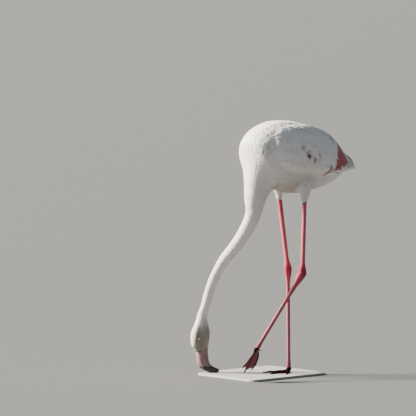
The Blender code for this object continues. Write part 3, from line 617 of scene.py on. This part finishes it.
# The bill. A sheath of smooth horn over the jaws: the thin upper half lies like a lid on the deep lower
# half, and both bend sharply down half way along. It is pink, and black from the bend to the tip.
# Painted shade darkens the pink in the nostrils and the grooves, and over all but the lit edge of the crown
# side.
BILL_CELL = 0.0009
RIDGE_STEP = 0.0042
NOSTRIL_HEIGHT = 0.0735
BILL_SWELL = ((0.004, 0.014, 0.026, 0.045, 0.062, 0.08), (0.0, 0.005, 0.0054, 0.0034, 0.0018, 0.0028))
BILL_PINK = (0.56, 0.36, 0.33)
BILL_SHADE_DUSK = (0.17, 0.095, 0.09)
BILL_BLACK = (0.016, 0.014, 0.016)
gloss = {"Roughness": 0.34, "Coat Weight": 0.25, "Coat Roughness": 0.22}
bill_material, tree, shader = new_material("bill horn", gloss)
use_grain(tree, shader, "horn_colour", 260.0, 0.14, 0.00025)
horns = {}
for half in ("bill_upper", "bill_lower"):
    horn = flesh((half,), 0.0, BILL_CELL)
    horns[half] = horn
    places = relax(read_places(horn), read_edges(horn), 4, 0.5)
    places[:, 2] = np.maximum(places[:, 2], SOLE)
    write_places(horn, places)
    normals = read_normals(horn)
    crown, left, height = head_place(places)
    # the horn runs on under the feathered edge, and is fuller than the jaw along its upper side
    root = ease(height, 0.0905, 0.092)
    mouth = np.interp(height, (0.012, 0.026, 0.05), (-0.004, 0.001, 0.005))
    swell = np.interp(height, *BILL_SWELL) * ease(crown - mouth, 0.0, 0.012)
    places = places + crown_way * swell[:, None] + UP * 0.006 * root[:, None]
    places = places - from_axis(crown * 0.12 * root, left * 0.12 * root)
    if half == "bill_upper":
        # a slit of a nostril on each side, in a long groove that runs on towards the bend
        slit_line = 0.0098 - 0.1 * (0.088 - height)
        groove = bell(crown, slit_line, 0.0011) * ease(height, 0.04, 0.052)
        groove = groove * (1 - ease(height, 0.084, 0.09))
        nostril = bell(crown, slit_line, 0.001) * np.exp(-(((height - NOSTRIL_HEIGHT) / 0.0055) ** 4))
        side = ease(np.abs(left), 0.004, 0.007)
        places = places - normals * ((0.0003 * groove + 0.0011 * nostril) * side)[:, None]
        # painted shade: the nostril and its groove are painted dusky
        bill_shade = 0.75 * np.maximum(nostril * side, 0.3 * groove * side)
    else:
        # shallow ridges run along the deep lower half
        ridges = 0.5 + 0.5 * np.cos(crown * 2 * math.pi / RIDGE_STEP)
        side = ease(np.abs(left), 0.006, 0.009) * ease(height, 0.03, 0.045)
        places = places - normals * (0.00022 * ridges * side)[:, None]
        # painted shade: the sunken lines between the ridges are painted a little dusky
        bill_shade = 0.12 * ridges * side
    write_places(horn, places)
    # painted shade over the bill's sides: a mottled dusk, deepest away from the crown's lit edge and on the
    # throat side; the black tip is the horn's own
    wander = 0.001 * np.sin(crown * 330 + 2) + 0.0008 * np.sin(left * 410 + crown * 150 + 1)
    tip = 1 - ease(height + wander + crown * 0.1, 0.0185, 0.0255)
    dusk_mottle = 0.5 + 0.3 * np.sin(height * 210 + crown * 130) * np.sin(left * 260 + 0.5)
    throat_side = ease(-crown, 0.004, 0.018)
    bill_shade = bill_shade + (0.3 * dusk_mottle + 0.55 * (1 - ease(crown, 0.012, 0.02)) + 0.2 * throat_side) * (1 - tip)
    colour = blend_over(BILL_PINK, BILL_SHADE_DUSK, np.clip(bill_shade, 0, 1))
    add_colour(horn, "horn_colour", blend_over(colour, BILL_BLACK, tip))
    horn.shade_smooth()
    keep_piece(f"horn_{half}", horn, bill_material, (half,))

# The lamellae. A comb of fine horn teeth along the edges of the mouth, through which the bird strains
# its food. Each tooth grows from the rim of the upper half and lies across the mouth line.
RIM_GAP = 0.001
TOOTH_STEP = 0.0013
TOOTH_LENGTH = 0.0016
TOOTH_BREADTH = 0.00034
TOOTH_HORN = (0.255, 0.1425, 0.135)
comb, comb_in, comb_out = new_group(
    "comb of teeth", "GeometryNodeTree",
    (("Roots", "Geometry"), ("Tooth length", "Float"), ("Tooth breadth", "Float"), ("Seed", "Int"),
     ("Horn", "Material")),
    (("Comb", "Geometry"),),
)
tooth = add_node(comb, "GeometryNodeMeshCone", {"Vertices": 6, "Radius Top": 0.35, "Depth": 1.0})
across = add_node(comb, "GeometryNodeInputNamedAttribute", {"Name": "across"}, data_type="FLOAT_VECTOR")
along = add_node(comb, "GeometryNodeInputNamedAttribute", {"Name": "along"}, data_type="FLOAT_VECTOR")
upright = add_node(comb, "FunctionNodeAlignRotationToVector", axis="Z")
turned = add_node(comb, "FunctionNodeAlignRotationToVector", axis="X", pivot_axis="Z")
varied = add_node(comb, "FunctionNodeRandomValue", {2: 0.8, 3: 1.2}, data_type="FLOAT")
long = add_node(comb, "ShaderNodeMath", operation="MULTIPLY")
size = add_node(comb, "ShaderNodeCombineXYZ")
planted = add_node(comb, "GeometryNodeInstanceOnPoints")
real = add_node(comb, "GeometryNodeRealizeInstances")
dressed = add_node(comb, "GeometryNodeSetMaterial")
wire(
    comb, (across, "Attribute", upright, "Vector"), (upright, "Rotation", turned, "Rotation"),
    (along, "Attribute", turned, "Vector"), (comb_in, "Seed", varied, "Seed"),
    (comb_in, "Tooth length", long, 0), (varied, 1, long, 1), (comb_in, "Tooth breadth", size, "X"),
    (comb_in, "Tooth breadth", size, "Y"), (long, "Value", size, "Z"),
    (comb_in, "Roots", planted, "Points"), (tooth, "Mesh", planted, "Instance"),
    (turned, "Rotation", planted, "Rotation"), (size, "Vector", planted, "Scale"),
    (planted, "Instances", real, "Geometry"), (real, "Geometry", dressed, "Geometry"),
    (comb_in, "Horn", dressed, "Material"), (dressed, "Geometry", comb_out, "Comb"),
)

lower = horns["bill_lower"]
lower = BVHTree.FromPolygons(read_places(lower), [tuple(face.vertices) for face in lower.polygons])
rims = read_places(horns["bill_upper"])
rims = rims[gap_to(rims, lower) < RIM_GAP]
crown, left, height = head_place(rims)
path = -height - crown
roots, across_way, along_way = [], [], []
for side in (1, -1):
    line = []
    for mark in np.arange(-0.086, 0.006, TOOTH_STEP):
        near = np.abs(path - mark) < 0.0012
        if near.any():
            edge = near & (left * side > (left * side)[near].max() - 0.0007)
            line.append(rims[edge].mean(axis=0))
    line = soften(np.array(line), 3)
    forward = unit(np.gradient(line, axis=0))
    out = square_to(left_way * side, forward)
    over = np.cross(out, forward) * side
    roots.append(line + out * 0.0002 - over * 0.0005)
    along_way.append(forward)
    across_way.append(unit(over + out * 0.1))
rows = bpy.data.meshes.new("comb roots")
rows.from_pydata(np.concatenate(roots).tolist(), [], [])
for label, ways in (("across", across_way), ("along", along_way)):
    layer = rows.attributes.new(label, "FLOAT_VECTOR", "POINT")
    layer.data.foreach_set("vector", np.concatenate(ways).ravel())
tip = 1 - ease(head_place(read_places(rows))[2], 0.0195, 0.0255)
add_colour(rows, "horn_colour", blend_over(TOOTH_HORN, BILL_BLACK, tip))
holder = add_object("comb roots", rows)
maker = holder.modifiers.new("comb", "NODES")
maker.node_group = comb
settings = {"Tooth length": TOOTH_LENGTH, "Tooth breadth": TOOTH_BREADTH, "Seed": 7, "Horn": bill_material}
for socket in comb.interface.items_tree:
    if socket.in_out == "INPUT" and socket.name in settings:
        maker[socket.identifier] = settings[socket.name]
keep_piece("lamellae", made_mesh(holder), bill_material)

# The legs. Each is a bare shin, a knobbed ankle, a long shank of bone and a webbed foot in one sheet of
# scaled skin: broad plates down the front and on top of the toes, small round scales elsewhere.
LEG_CELL = 0.00088
LEG_GROW = 0.00045
PLATE_STEP = 0.0078
TOE_PLATE_STEP = 0.0046
FOLD_STEP = 0.005
LEG_PINK = (0.6, 0.145, 0.185)
LEG_DEEP = (0.36, 0.045, 0.075)
LEG_ASH_SHADE = (0.25, 0.155, 0.155)
FOOT_DARK_AND_SHADE = (0.015, 0.0022, 0.0035)
LEG_JOINTS = {
    # the ankle and the joint of the toes
    "left": ((0.0594, 0.009, 0.346), (0.078, -0.2233, 0.1002)),
    "right": ((-0.01, 0.005, 0.356), (0.0, 0.0, 0.013)),
}
leg_material, tree, shader = new_material("leg skin", {"Roughness": 0.72, "Specular IOR Level": 0.03})
tint = add_node(tree, "ShaderNodeAttribute", attribute_name="leg_colour")
spot = add_node(tree, "ShaderNodeTexCoord")
scales = add_node(tree, "ShaderNodeTexVoronoi", {"Scale": 520.0}, feature="DISTANCE_TO_EDGE")
seam = add_node(tree, "ShaderNodeMapRange", {"From Max": 0.16})
dark = add_node(tree, "ShaderNodeMapRange", {"To Min": 0.74})
shaded = add_node(tree, "ShaderNodeVectorMath", operation="SCALE")
wire(
    tree, (spot, "Object", scales, "Vector"), (scales, "Distance", seam, "Value"),
    (seam, "Result", dark, "Value"), (tint, "Color", shaded, 0), (dark, "Result", shaded, "Scale"),
)
relief = use_grain(tree, shader, shaded.outputs["Vector"], 300.0, 0.12, 0.0001)
add_relief(tree, shader, relief, 0.8, 0.00012, seam, "Result")


def ribs(reach, step, power):
    """Narrow raised ribs, one to each step: the higher the power, the narrower."""
    return np.maximum(np.cos(reach * 2 * math.pi / step), 0) ** power


for side, joints in LEG_JOINTS.items():
    parts = (f"shank_{side}", f"tarsus_{side}", f"foot_{side}")
    leg = flesh(parts, LEG_GROW, LEG_CELL)
    places = read_places(leg) - read_normals(leg) * 0.0003
    places = relax(places, read_edges(leg), 6, 0.5)
    places[:, 2] = np.maximum(places[:, 2], SOLE)
    ankle, toe_joint = (np.array(joint) + [0, 0, SOLE] for joint in joints)
    down = unit(toe_joint - ankle)
    reach = (places - ankle) @ down
    length = np.linalg.norm(toe_joint - ankle)
    toe_reach = np.linalg.norm(places - toe_joint, axis=1)
    in_foot = ease(reach, length - 0.008, length + 0.002)
    if side == "right":
        in_foot = np.maximum(in_foot, ease(toe_reach, 0.01, 0.016) * (places[:, 2] < 0.03))
    write_places(leg, places)
    normals = read_normals(leg)
    front = unit(np.array([0, -1.0, 0]) + down * down[1])
    facing = ease(normals @ front, 0.15, 0.6) * (1 - in_foot) * ease(reach, 0.012, 0.03)
    upper_side = normals @ (UP if side == "right" else unit(np.array([0.0, -0.75, 0.35])))
    plates = ribs(reach, PLATE_STEP, 10) * facing
    toe_plates = ribs(toe_reach, TOE_PLATE_STEP, 6) * in_foot * ease(upper_side, 0.1, 0.5)
    folds = ribs(reach + FOLD_STEP / (2 * math.pi), FOLD_STEP, 4) * bell(reach, 0, 0.016)
    places = places - normals * (0.0003 * plates + 0.00028 * toe_plates + 0.0003 * folds)[:, None]
    places[:, 2] = np.maximum(places[:, 2], SOLE)
    write_places(leg, places)
    deep = 0.15 + 0.75 * bell(reach, 0, 0.022) + 0.35 * ease(-reach, 0.16, 0.24) + 0.3 * plates
    # the lower shank is painted an ashen pink, mottled: partly its own duller tone, partly painted shade
    ash_shade = 0.58 * ease(reach, 0.04, 0.14) * (0.7 + 0.3 * np.sin(reach * 90))
    colour = blend_over(blend_over(LEG_PINK, LEG_DEEP, np.clip(deep, 0, 1)), LEG_ASH_SHADE, ash_shade)
    # the feet, and the shank just above them, are painted near-black red: the webs' own dark red, wet, with
    # painted shade over it
    foot = in_foot * (0.82 + 0.14 * ease(toe_reach, 0.03, 0.09)) + 0.3 * ease(reach, length - 0.05, length)
    add_colour(leg, "leg_colour", blend_over(colour, FOOT_DARK_AND_SHADE, np.clip(foot, 0, 1)))
    leg.shade_smooth()
    keep_piece(f"leg_{side}", leg, leg_material, parts)

# The claws. Four on each foot: small blunt sheaths of dark horn that grow out of the tips of the toes,
# worn round at the end.
claw_material, tree, shader = new_material("claw horn", {"Roughness": 0.38})
use_grain(tree, shader, (0.05, 0.038, 0.036), 900.0, 0.35, 0.0001)
every_way = {"use_axis_x": True, "use_axis_y": True, "use_axis_z": True}
for side in ("left", "right"):
    for toe in ("inner", "middle", "outer", "hind"):
        part = f"claw_{side}_{toe}"
        shape = welded((part,))
        bmesh.ops.subdivide_edges(shape, edges=shape.edges, cuts=2, smooth=0.5)
        bmesh.ops.smooth_vert(shape, verts=shape.verts, factor=0.5, **every_way)
        for corner in shape.verts:
            corner.co.z = max(corner.co.z, SOLE)
        claw = free_to_mesh(shape, part)
        claw.shade_smooth()
        keep_piece(f"nail_{side}_{toe}", claw, claw_material, (part,))

# The plumage. Thousands of small flat feathers cover the skin, each a vane with a raised shaft. They
# root under their neighbours towards the head and lie tailwards, down the thighs and up the neck.
skin_places = read_places(skin_mesh)
skin_mesh.calc_loop_triangles()
skin_corners = read(skin_mesh.loop_triangles, "vertices", 3, np.int64)
skin_tree = BVHTree.FromPolygons(skin_places.tolist(), skin_corners.tolist())
triangle_normals = unit(read_normals(skin_mesh)[skin_corners].sum(axis=1))
triangle_lie = unit(tailward[skin_corners].sum(axis=1))
chosen = np.random.default_rng(11)
VANE_MAP_SIZE = 0.003
TONE_SPREAD = 0.022
SHAFT_HEIGHT = 0.00008
EDGE_DROP = 0.00005
BARBS_PER_MM = 11.0
THIGH_SIZE = 0.62
WING_SIZE = 1.22


def sample_skin(count, wanted):
    """Even places over the skin where wanted is over a half: each one's triangle, and the place itself."""
    corner = skin_places[skin_corners]
    area = np.linalg.norm(np.cross(corner[:, 1] - corner[:, 0], corner[:, 2] - corner[:, 0]), axis=1)
    area = area * (wanted[skin_corners].mean(axis=1) > 0.5)
    pick = chosen.choice(len(area), size=count, p=area / area.sum())
    u, v = chosen.random(count), chosen.random(count)
    over = u + v > 1
    u[over], v[over] = 1 - u[over], 1 - v[over]
    places = corner[pick, 0] + u[:, None] * (corner[pick, 1] - corner[pick, 0])
    places = places + v[:, None] * (corner[pick, 2] - corner[pick, 0])
    return pick, places


def spaced(places, spacing):
    """The places left when each keeps its neighbours this far away."""
    tree = KDTree(len(places))
    for k, place in enumerate(places):
        tree.insert(place, k)
    tree.balance()
    free = np.ones(len(places), dtype=bool)
    kept = []
    for k in range(len(places)):
        if free[k]:
            kept.append(k)
            for _, other, _ in tree.find_range(places[k], spacing[k]):
                free[other] = False
    return np.array(kept)


def on_skin(places):
    """The nearest places on the skin, with the way out of it and the way the feathers lie there."""
    found = np.empty((len(places), 3))
    triangle = np.empty(len(places), dtype=np.int64)
    for k, place in enumerate(places.tolist()):
        spot, _, number, _ = skin_tree.find_nearest(place)
        found[k] = spot
        triangle[k] = number
    return found, triangle_normals[triangle], triangle_lie[triangle]


def vane_mesh(name, spine, normals, across, breadth, ridge, colour, roots_map, sag, barb):
    """One closed mesh of many vanes. spine holds every vane's rows of places, from root to tip."""
    count, rows = spine.shape[:2]
    half = across * breadth[..., None]
    drop = normals * sag[..., None]
    left, right = spine - half - drop, spine + half - drop
    top = spine + normals * ridge[..., None]
    body = np.stack([left[:, :-1], top[:, :-1], right[:, :-1]], axis=2).reshape(count, -1, 3)
    points = np.concatenate([body, spine[:, -1:]], axis=1)
    per_vane = points.shape[1]
    tip = per_vane - 1
    quads, quad_map, tris, tri_map = [], [], [], []
    for r in range(rows - 1):
        low, high = r / (rows - 1), (r + 1) / (rows - 1)
        for column, (a, b) in enumerate(((0, 1), (1, 2), (2, 0))):
            a, b = 3 * r + a, 3 * r + b
            x0, x1 = column / 3, (column + 0.9) / 3
            if r < rows - 2:
                quads.append((a, a + 3, b + 3, b))
                quad_map += [(x0, low), (x0, high), (x1, high), (x1, low)]
            else:
                tris.append((a, tip, b))
                tri_map += [(x0, low), ((x0 + x1) / 2, 1.0), (x1, low)]
    tris.append((0, 1, 2))
    tri_map += [(0.0, -0.05), (0.45, -0.18), (0.9, -0.05)]
    loops = np.concatenate([np.array(quads).ravel(), np.array(tris).ravel()])
    loops = (loops[None, :] + (np.arange(count) * per_vane)[:, None]).ravel()
    corners = np.tile([4] * len(quads) + [3] * len(tris), count)
    mesh = bpy.data.meshes.new(name)
    mesh.vertices.add(count * per_vane)
    mesh.vertices.foreach_set("co", points.reshape(-1))
    mesh.loops.add(len(loops))
    mesh.loops.foreach_set("vertex_index", loops)
    mesh.polygons.add(len(corners))
    mesh.polygons.foreach_set("loop_start", np.concatenate([[0], np.cumsum(corners)[:-1]]))
    mesh.update(calc_edges=True)
    flat = (np.array(quad_map + tri_map) - 0.5) * VANE_MAP_SIZE
    uv = mesh.uv_layers.new(name="OFBake")
    uv.data.foreach_set("uv", (roots_map[:, None, :] + flat[None]).reshape(-1))
    colour = np.concatenate([np.repeat(colour[:, :-1], 3, axis=1), colour[:, -1:]], axis=1)
    add_colour(mesh, "coat_colour", colour.reshape(-1, 3))
    run, spread = barb[..., 0], barb[..., 1]
    lines = np.stack([run + spread, run, run + spread], axis=2)[:, :-1].reshape(count, -1)
    add_number(mesh, "barb_line", np.concatenate([lines, run[:, -1:]], axis=1).ravel())
    mesh.shade_smooth()
    mesh.set_sharp_from_angle(angle=math.radians(60))
    return mesh


def lay_vanes(name, roots, lie, length, breadth, lift, rows,
              full=0.45, rise=0.0, own=0.5, free=9.0, shade=None):
    """Feathers laid along the skin from these roots, as one mesh. full is where a vane is broadest, rise
    how soon it stands off the skin, own how far it keeps one colour, and free lets tips leave the skin."""
    count = len(roots)
    place, normals, field = on_skin(roots)
    turn = np.arctan2(np.sum(lie * np.cross(normals, field), axis=1), np.sum(lie * field, axis=1))
    marks = np.linspace(0, 1, rows)
    curl = chosen.normal(0, 0.1, count)
    step = (length / (rows - 1))[:, None]
    loose = np.zeros(count, dtype=bool)
    spine, outs, cross = [], [], []
    for r in range(rows):
        way = unit(swung(field, normals, turn + curl * marks[r]))
        slow = 0.45 * marks[r] + 0.55 * marks[r] ** 2
        soon = 0.78 * (1 - math.exp(-7 * marks[r])) + 0.22 * marks[r]
        height = -0.0005 * (1 - marks[r]) ** 3 + lift * (slow * (1 - rise) + soon * rise)
        spine.append(place + normals * height[:, None])
        outs.append(normals)
        cross.append(np.cross(normals, way))
        if r < rows - 1:
            ahead = place + way * step
            near, near_normals, near_field = on_skin(ahead)
            loose |= np.linalg.norm(near - ahead, axis=1) > free * step[:, 0]
            place = np.where(loose[:, None], ahead, near)
            normals = np.where(loose[:, None], normals, near_normals)
            field = np.where(loose[:, None], field, near_field)
    spine, outs, cross = np.stack(spine, 1), np.stack(outs, 1), np.stack(cross, 1)
    late = np.clip((marks - full) / (1 - full), 0, 1)
    form = (marks / full) ** 0.55 * (marks < full) + (1 - late ** 2) ** 0.5 * (marks >= full)
    form = np.maximum(form, 0.18 * (marks < 0.9))
    form[-1] = 0.0
    wide = breadth[:, None] * form[None] * chosen.uniform(0.92, 1.08, (count, rows))
    reach, away, _ = along_body(roots)
    sag = wide ** 2 / (2 * np.maximum(away, 0.012))[:, None] + EDGE_DROP
    ridge = SHAFT_HEIGHT + 0.05 * wide * (1 - marks)[None]
    seen = spine[:, int(round(0.75 * (rows - 1)))][:, None]
    seen = (spine * (1 - own) + seen * own).reshape(-1, 3)
    colour = plumage_colour(seen, along_body(seen)[0]).reshape(count, rows, 3)
    if shade is not None:
        colour = shade(colour, spine, marks)
    # each vane is painted darker towards its root, as shade under the neighbours that lap over it; its tone
    # also differs at random
    colour = colour * chosen.normal(1.0, TONE_SPREAD, (count, 1, 1)) * (0.93 + 0.08 * marks)[None, :, None]
    colour = np.clip(colour, 0, 1)
    barb = np.stack([length[:, None] * marks[None], wide * 0.8], axis=2) * 1000
    return vane_mesh(name, spine, outs, cross, wide, ridge, colour, skin_map(roots, reach), sag, barb)


downy = {"Roughness": 0.58, "Sheen Weight": 0.15, "Sheen Roughness": 0.5}
vane_material, tree, shader = new_material("feather vane", downy)
barbs = add_node(tree, "ShaderNodeAttribute", attribute_name="barb_line")
barb_wave = add_node(tree, "ShaderNodeMath", operation="SINE")
barb_scale = add_node(tree, "ShaderNodeMath", {1: BARBS_PER_MM}, operation="MULTIPLY")
wire(tree, (barbs, "Fac", barb_scale, 0), (barb_scale, 0, barb_wave, 0))
relief = use_grain(tree, shader, "coat_colour", 240.0, 0.045, 0.00025)
add_relief(tree, shader, relief, 0.35, 0.00004, barb_wave, 0)

COAT_SIZES = np.array((
    # reach along the body in metres, and in millimetres: spacing, length, half breadth, lift of the tip
    (0.0, 5.4, 30, 6.2, 2),
    (0.15, 5.8, 36, 7, 2.2),
    (NECK_ROOT - 0.14, 5.8, 36, 7, 2.2),
    (NECK_ROOT - 0.03, 4.8, 28, 5.4, 1.9),
    (NECK_ROOT + 0.12, 3.6, 18, 3.5, 1.5),
    (HEAD_ROOT - 0.03, 2.9, 12.5, 2.5, 1.3),
    (HEAD_ROOT + 0.02, 2.2, 9, 1.7, 0.8),
    (LINE_END - 0.03, 1.7, 6.4, 1.2, 0.5),
    (LINE_END, 1.4, 4.6, 1, 0.4),
))
COAT_PIECES = (
    # name, reach from and to, on the wing or not, vanes tried
    ("rump_feathers", -1.0, 0.22, False, 26000),
    ("back_feathers", 0.22, NECK_ROOT - 0.1, False, 30000),
    ("breast_feathers", NECK_ROOT - 0.1, NECK_ROOT + 0.06, False, 26000),
    ("neck_feathers", NECK_ROOT + 0.06, NECK_ROOT + 0.28, False, 52000),
    ("upper_neck_feathers", NECK_ROOT + 0.28, HEAD_ROOT - 0.02, False, 60000),
    ("head_feathers", HEAD_ROOT - 0.02, LINE_END + 1.0, False, 60000),
    ("wing_coverts", -1.0, LINE_END + 1.0, True, 30000),
)
skin_reach = along_body(skin_places)[0]
feathered = 1 - bare_share(skin_places)
for name, start, end, of_wing, tried in COAT_PIECES:
    wanted = ((skin_reach >= start) & (skin_reach < end)) * feathered * ((on_wing > 0.5) == of_wing)
    triangle, places = sample_skin(tried, wanted)
    at = along_body(places)[0]
    spacing, length, breadth, lift = np.array([
        np.interp(at, COAT_SIZES[:, 0], sizes) for sizes in COAT_SIZES[:, 1:].T
    ]) * MM
    smaller = np.ones(len(places))
    smaller[(beside(places, THIGH_LINES) < 0.034) & (places[:, 2] < 0.668)] = THIGH_SIZE
    if of_wing:
        smaller = smaller * WING_SIZE
    kept = spaced(places, spacing * smaller)
    triangle, places, smaller = triangle[kept], places[kept], smaller[kept]
    # the soft feathers under the rear of the belly stand off most
    fluff = ease(-triangle_normals[triangle][:, 2], 0.5, 0.85) * ease(places[:, 1], 0.02, 0.08)
    fluff = fluff * (1 - ease(places[:, 1], 0.2, 0.25)) * (1 - float(of_wing))
    many = len(places)
    lie = swung(triangle_lie[triangle], triangle_normals[triangle], chosen.normal(0, 0.12, many))
    coat = lay_vanes(
        name, places, lie, length[kept] * smaller * (1 + 0.3 * fluff) * chosen.uniform(0.82, 1.2, many),
        breadth[kept] * smaller * chosen.uniform(0.85, 1.15, many),
        lift[kept] * (0.78 if of_wing else 1.0) * (1 + 1.3 * fluff) * chosen.uniform(0.75, 1.25, many), 5,
    )
    keep_piece(name, coat, vane_material)

# The long feathers of the folded wings and the back: rows of coverts that lap like tiles, long soft
# scapulars that droop over them from the shoulder, and broad tertials that close over the rump.
LONG_ROWS = (
    # name, from: millimetres along the body and angle from the top, to, how many; then at the front and
    # the rear end: feather length, half breadth and lift in millimetres, and droop
    ("greater_coverts", (-55, 106), (115, 108), 22, (64, 80), (10, 11.2), (2.8, 3), (0.5, 0.2)),
    ("median_coverts", (-85, 94), (105, 95), 26, (46, 56), (8.6, 9.8), (3.1, 3.2), (0.54, 0.3)),
    ("lower_lesser_coverts", (-100, 82), (90, 83), 28, (36, 46), (7.6, 8.8), (2.9, 3), (0.56, 0.36)),
    ("upper_lesser_coverts", (-108, 70), (75, 71), 28, (34, 42), (7.2, 8.4), (2.9, 3.1), (0.56, 0.36)),
    ("tertials", (50, 78), (85, 28), 12, (126, 112), (11.2, 12.5), (3.2, 3.8), (0.06, 0.12)),
    ("outer_scapulars", (-100, 58), (70, 57), 20, (58, 92), (8.8, 11), (3, 3.4), (0.56, 0.3)),
    ("middle_scapulars", (-94, 45), (70, 43), 19, (66, 100), (9, 11.2), (3.2, 3.6), (0.52, 0.28)),
    ("inner_scapulars", (-78, 31), (75, 28), 16, (70, 96), (9, 11.2), (3.4, 3.8), (0.42, 0.24)),
)


def skin_spot(y, height, angle, start):
    """The place on the skin straight out from the body's core, at this angle from the top."""
    out = Vector((math.sin(angle), 0, math.cos(angle)))
    return skin_tree.ray_cast(Vector((MIDDLE, y, height)) + out * start, -out)[0]


def long_feathers(name, first, last, count, lengths, breadths, lifts, droops):
    """One row of long feathers on each side of the body."""
    roots, along = [], []
    for side in (1, -1):
        for t in np.linspace(0, 1, count):
            spread = chosen.uniform(-1, 1, 2) * (0.006, 6.5)
            y = (first[0] + (last[0] - first[0]) * t) * MM + spread[0]
            angle = math.radians(first[1] + (last[1] - first[1]) * t + spread[1])
            core_height = float(np.interp(y, (-0.15, 0.07, 0.25), (0.78, 0.78, 0.745)))
            spot = skin_spot(y, core_height, side * angle, 0.3)
            if spot is not None:
                roots.append(spot)
                along.append(t)
    roots, along = np.array(roots), np.array(along)
    _, normals, field = on_skin(roots)
    fall = normals * normals[:, 2:3] - UP
    droop = np.interp(along, (0, 1), droops) + chosen.normal(0, 0.07, len(roots))
    across = square_to(fall, field)
    lie = unit(field * np.cos(droop)[:, None] + across * np.sin(droop)[:, None])
    vary = chosen.uniform(0.84, 1.16, (3, len(roots)))
    sizes = [np.interp(along, (0, 1), (lengths, breadths, lifts)[k]) * MM * vary[k] for k in range(3)]
    return lay_vanes(name, roots, lie, *sizes, 9, full=0.62, rise=1.0, own=0.25, free=0.45)


for row in LONG_ROWS:
    keep_piece(row[0], long_feathers(*row), vane_material)

# The tail. Twelve broad flight feathers, which grow from the end of the body in a shallow fan under the rump.
# The outer ones are the shortest. Painted shade leaves them grey-white above and browner beneath and towards
# the tips.
TAIL_COUNT = 12
TAIL_FAN = math.radians(86)
TAIL_SHADE_BROWN = (0.4, 0.34, 0.29)
turns = [((k + 0.5) / TAIL_COUNT * 2 - 1) * TAIL_FAN for k in range(TAIL_COUNT)]
roots = np.array([skin_spot(0.218, 0.733, angle, 0.2) for angle in turns])
outer = np.abs(np.linspace(-1, 1, TAIL_COUNT))


def painted_tail_shade(colour, spine, marks):
    """Painted shade: the tail's vanes darken towards their tips, and are brownest on the underside."""
    share = (0.25 + 0.35 * marks)[None, :, None] * (0.6 + 0.4 * ease(0.74 - spine[:, :, 2:], -0.01, 0.015))
    return colour + (TAIL_SHADE_BROWN - colour) * share


tail_coat = lay_vanes(
    "tail_feathers", roots, on_skin(roots)[2], 0.078 - 0.01 * outer, np.full(TAIL_COUNT, 0.0135),
    0.0058 - 0.0026 * outer, 10, full=0.7, rise=1.0, own=0.2, free=0.3, shade=painted_tail_shade,
)
keep_piece("tail_feathers", tail_coat, vane_material)

# The base. A plain board with rounded corners and eased edges, painted matt grey. The standing foot and
# the tip of the bill rest on it.
board_material, tree, shader = new_material("stand paint", {"Roughness": 0.62})
use_grain(tree, shader, (0.38, 0.375, 0.355), 90.0, 0.05, 0.0001)
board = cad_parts["stand_base"]
board.data.materials.clear()
board.data.materials.append(board_material)

# The room. A plain floor that a strong low sun, warm and a little soft, brings up pale; a weak cool light
# from the front; and an even cool sky. The camera stands far off with a long lens.
FLOOR_HALF = 40
floor_mesh = bpy.data.meshes.new("floor")
corners = [(x * FLOOR_HALF, y * FLOOR_HALF, 0) for x, y in ((-1, -1), (1, -1), (1, 1), (-1, 1))]
floor_mesh.from_pydata(corners, [], [(0, 1, 2, 3)])
floor = add_object("floor", floor_mesh)
matt = {"Roughness": 0.85, "Base Color": (0.115, 0.115, 0.114, 1.0)}
floor_mesh.materials.append(new_material("pale floor", matt)[0])

world = bpy.data.worlds.new("studio")
world.use_nodes = True
set_inputs(world.node_tree.nodes["Background"], {"Color": (0.67, 0.84, 1.0, 1), "Strength": 0.26})
bpy.context.scene.world = world

RIGHT_WAY = Vector((0.669, 0.743, 0))
DEEP_WAY = Vector((-0.743, 0.669, 0))
FILL_AWAY = RIGHT_WAY * 1.5 + DEEP_WAY * -4.0 + Vector((0, 0, 1.6))
SUN_HEIGHT = math.radians(30)
SUN_BEHIND = math.radians(4)
SUN_WIDTH = math.radians(15)
CAMERA_TURN = math.radians(48)
CAMERA_HEIGHT = math.radians(4.5)
CAMERA_AWAY = 16.0
CAMERA_AIM = Vector((-0.1869, -0.2076, 0.5686 + SOLE))


def place_at(name, data, aim, away, settings):
    """A lamp or the camera with these settings, this far away from its aim and facing it."""
    for key, value in settings.items():
        setattr(data, key, value)
    made = add_object(name, data)
    made.location = aim + away
    made.rotation_euler = away.to_track_quat("Z", "Y").to_euler()
    return made


place_at("fill", bpy.data.lights.new("fill", "AREA"), Vector((0, 0, 0.6)), FILL_AWAY,
         {"size": 3.0, "energy": 8, "color": (0.84, 0.9, 1.0)})
sun_away = (RIGHT_WAY * -math.cos(SUN_BEHIND) + DEEP_WAY * math.sin(SUN_BEHIND)) * math.cos(SUN_HEIGHT)
sun_away.z = math.sin(SUN_HEIGHT)
place_at("sun", bpy.data.lights.new("sun", "SUN"), Vector((0, 0, 0)), sun_away,
         {"angle": SUN_WIDTH, "energy": 22.0, "color": (1.0, 0.95, 0.84)})
back = Vector((math.sin(CAMERA_TURN), -math.cos(CAMERA_TURN), 0)) * math.cos(CAMERA_HEIGHT)
back += Vector((0, 0, math.sin(CAMERA_HEIGHT)))
bpy.context.scene.camera = place_at("camera", bpy.data.cameras.new("camera"), CAMERA_AIM, back * CAMERA_AWAY,
                                    {"lens": 401.0, "sensor_width": 36.0, "clip_end": 200})
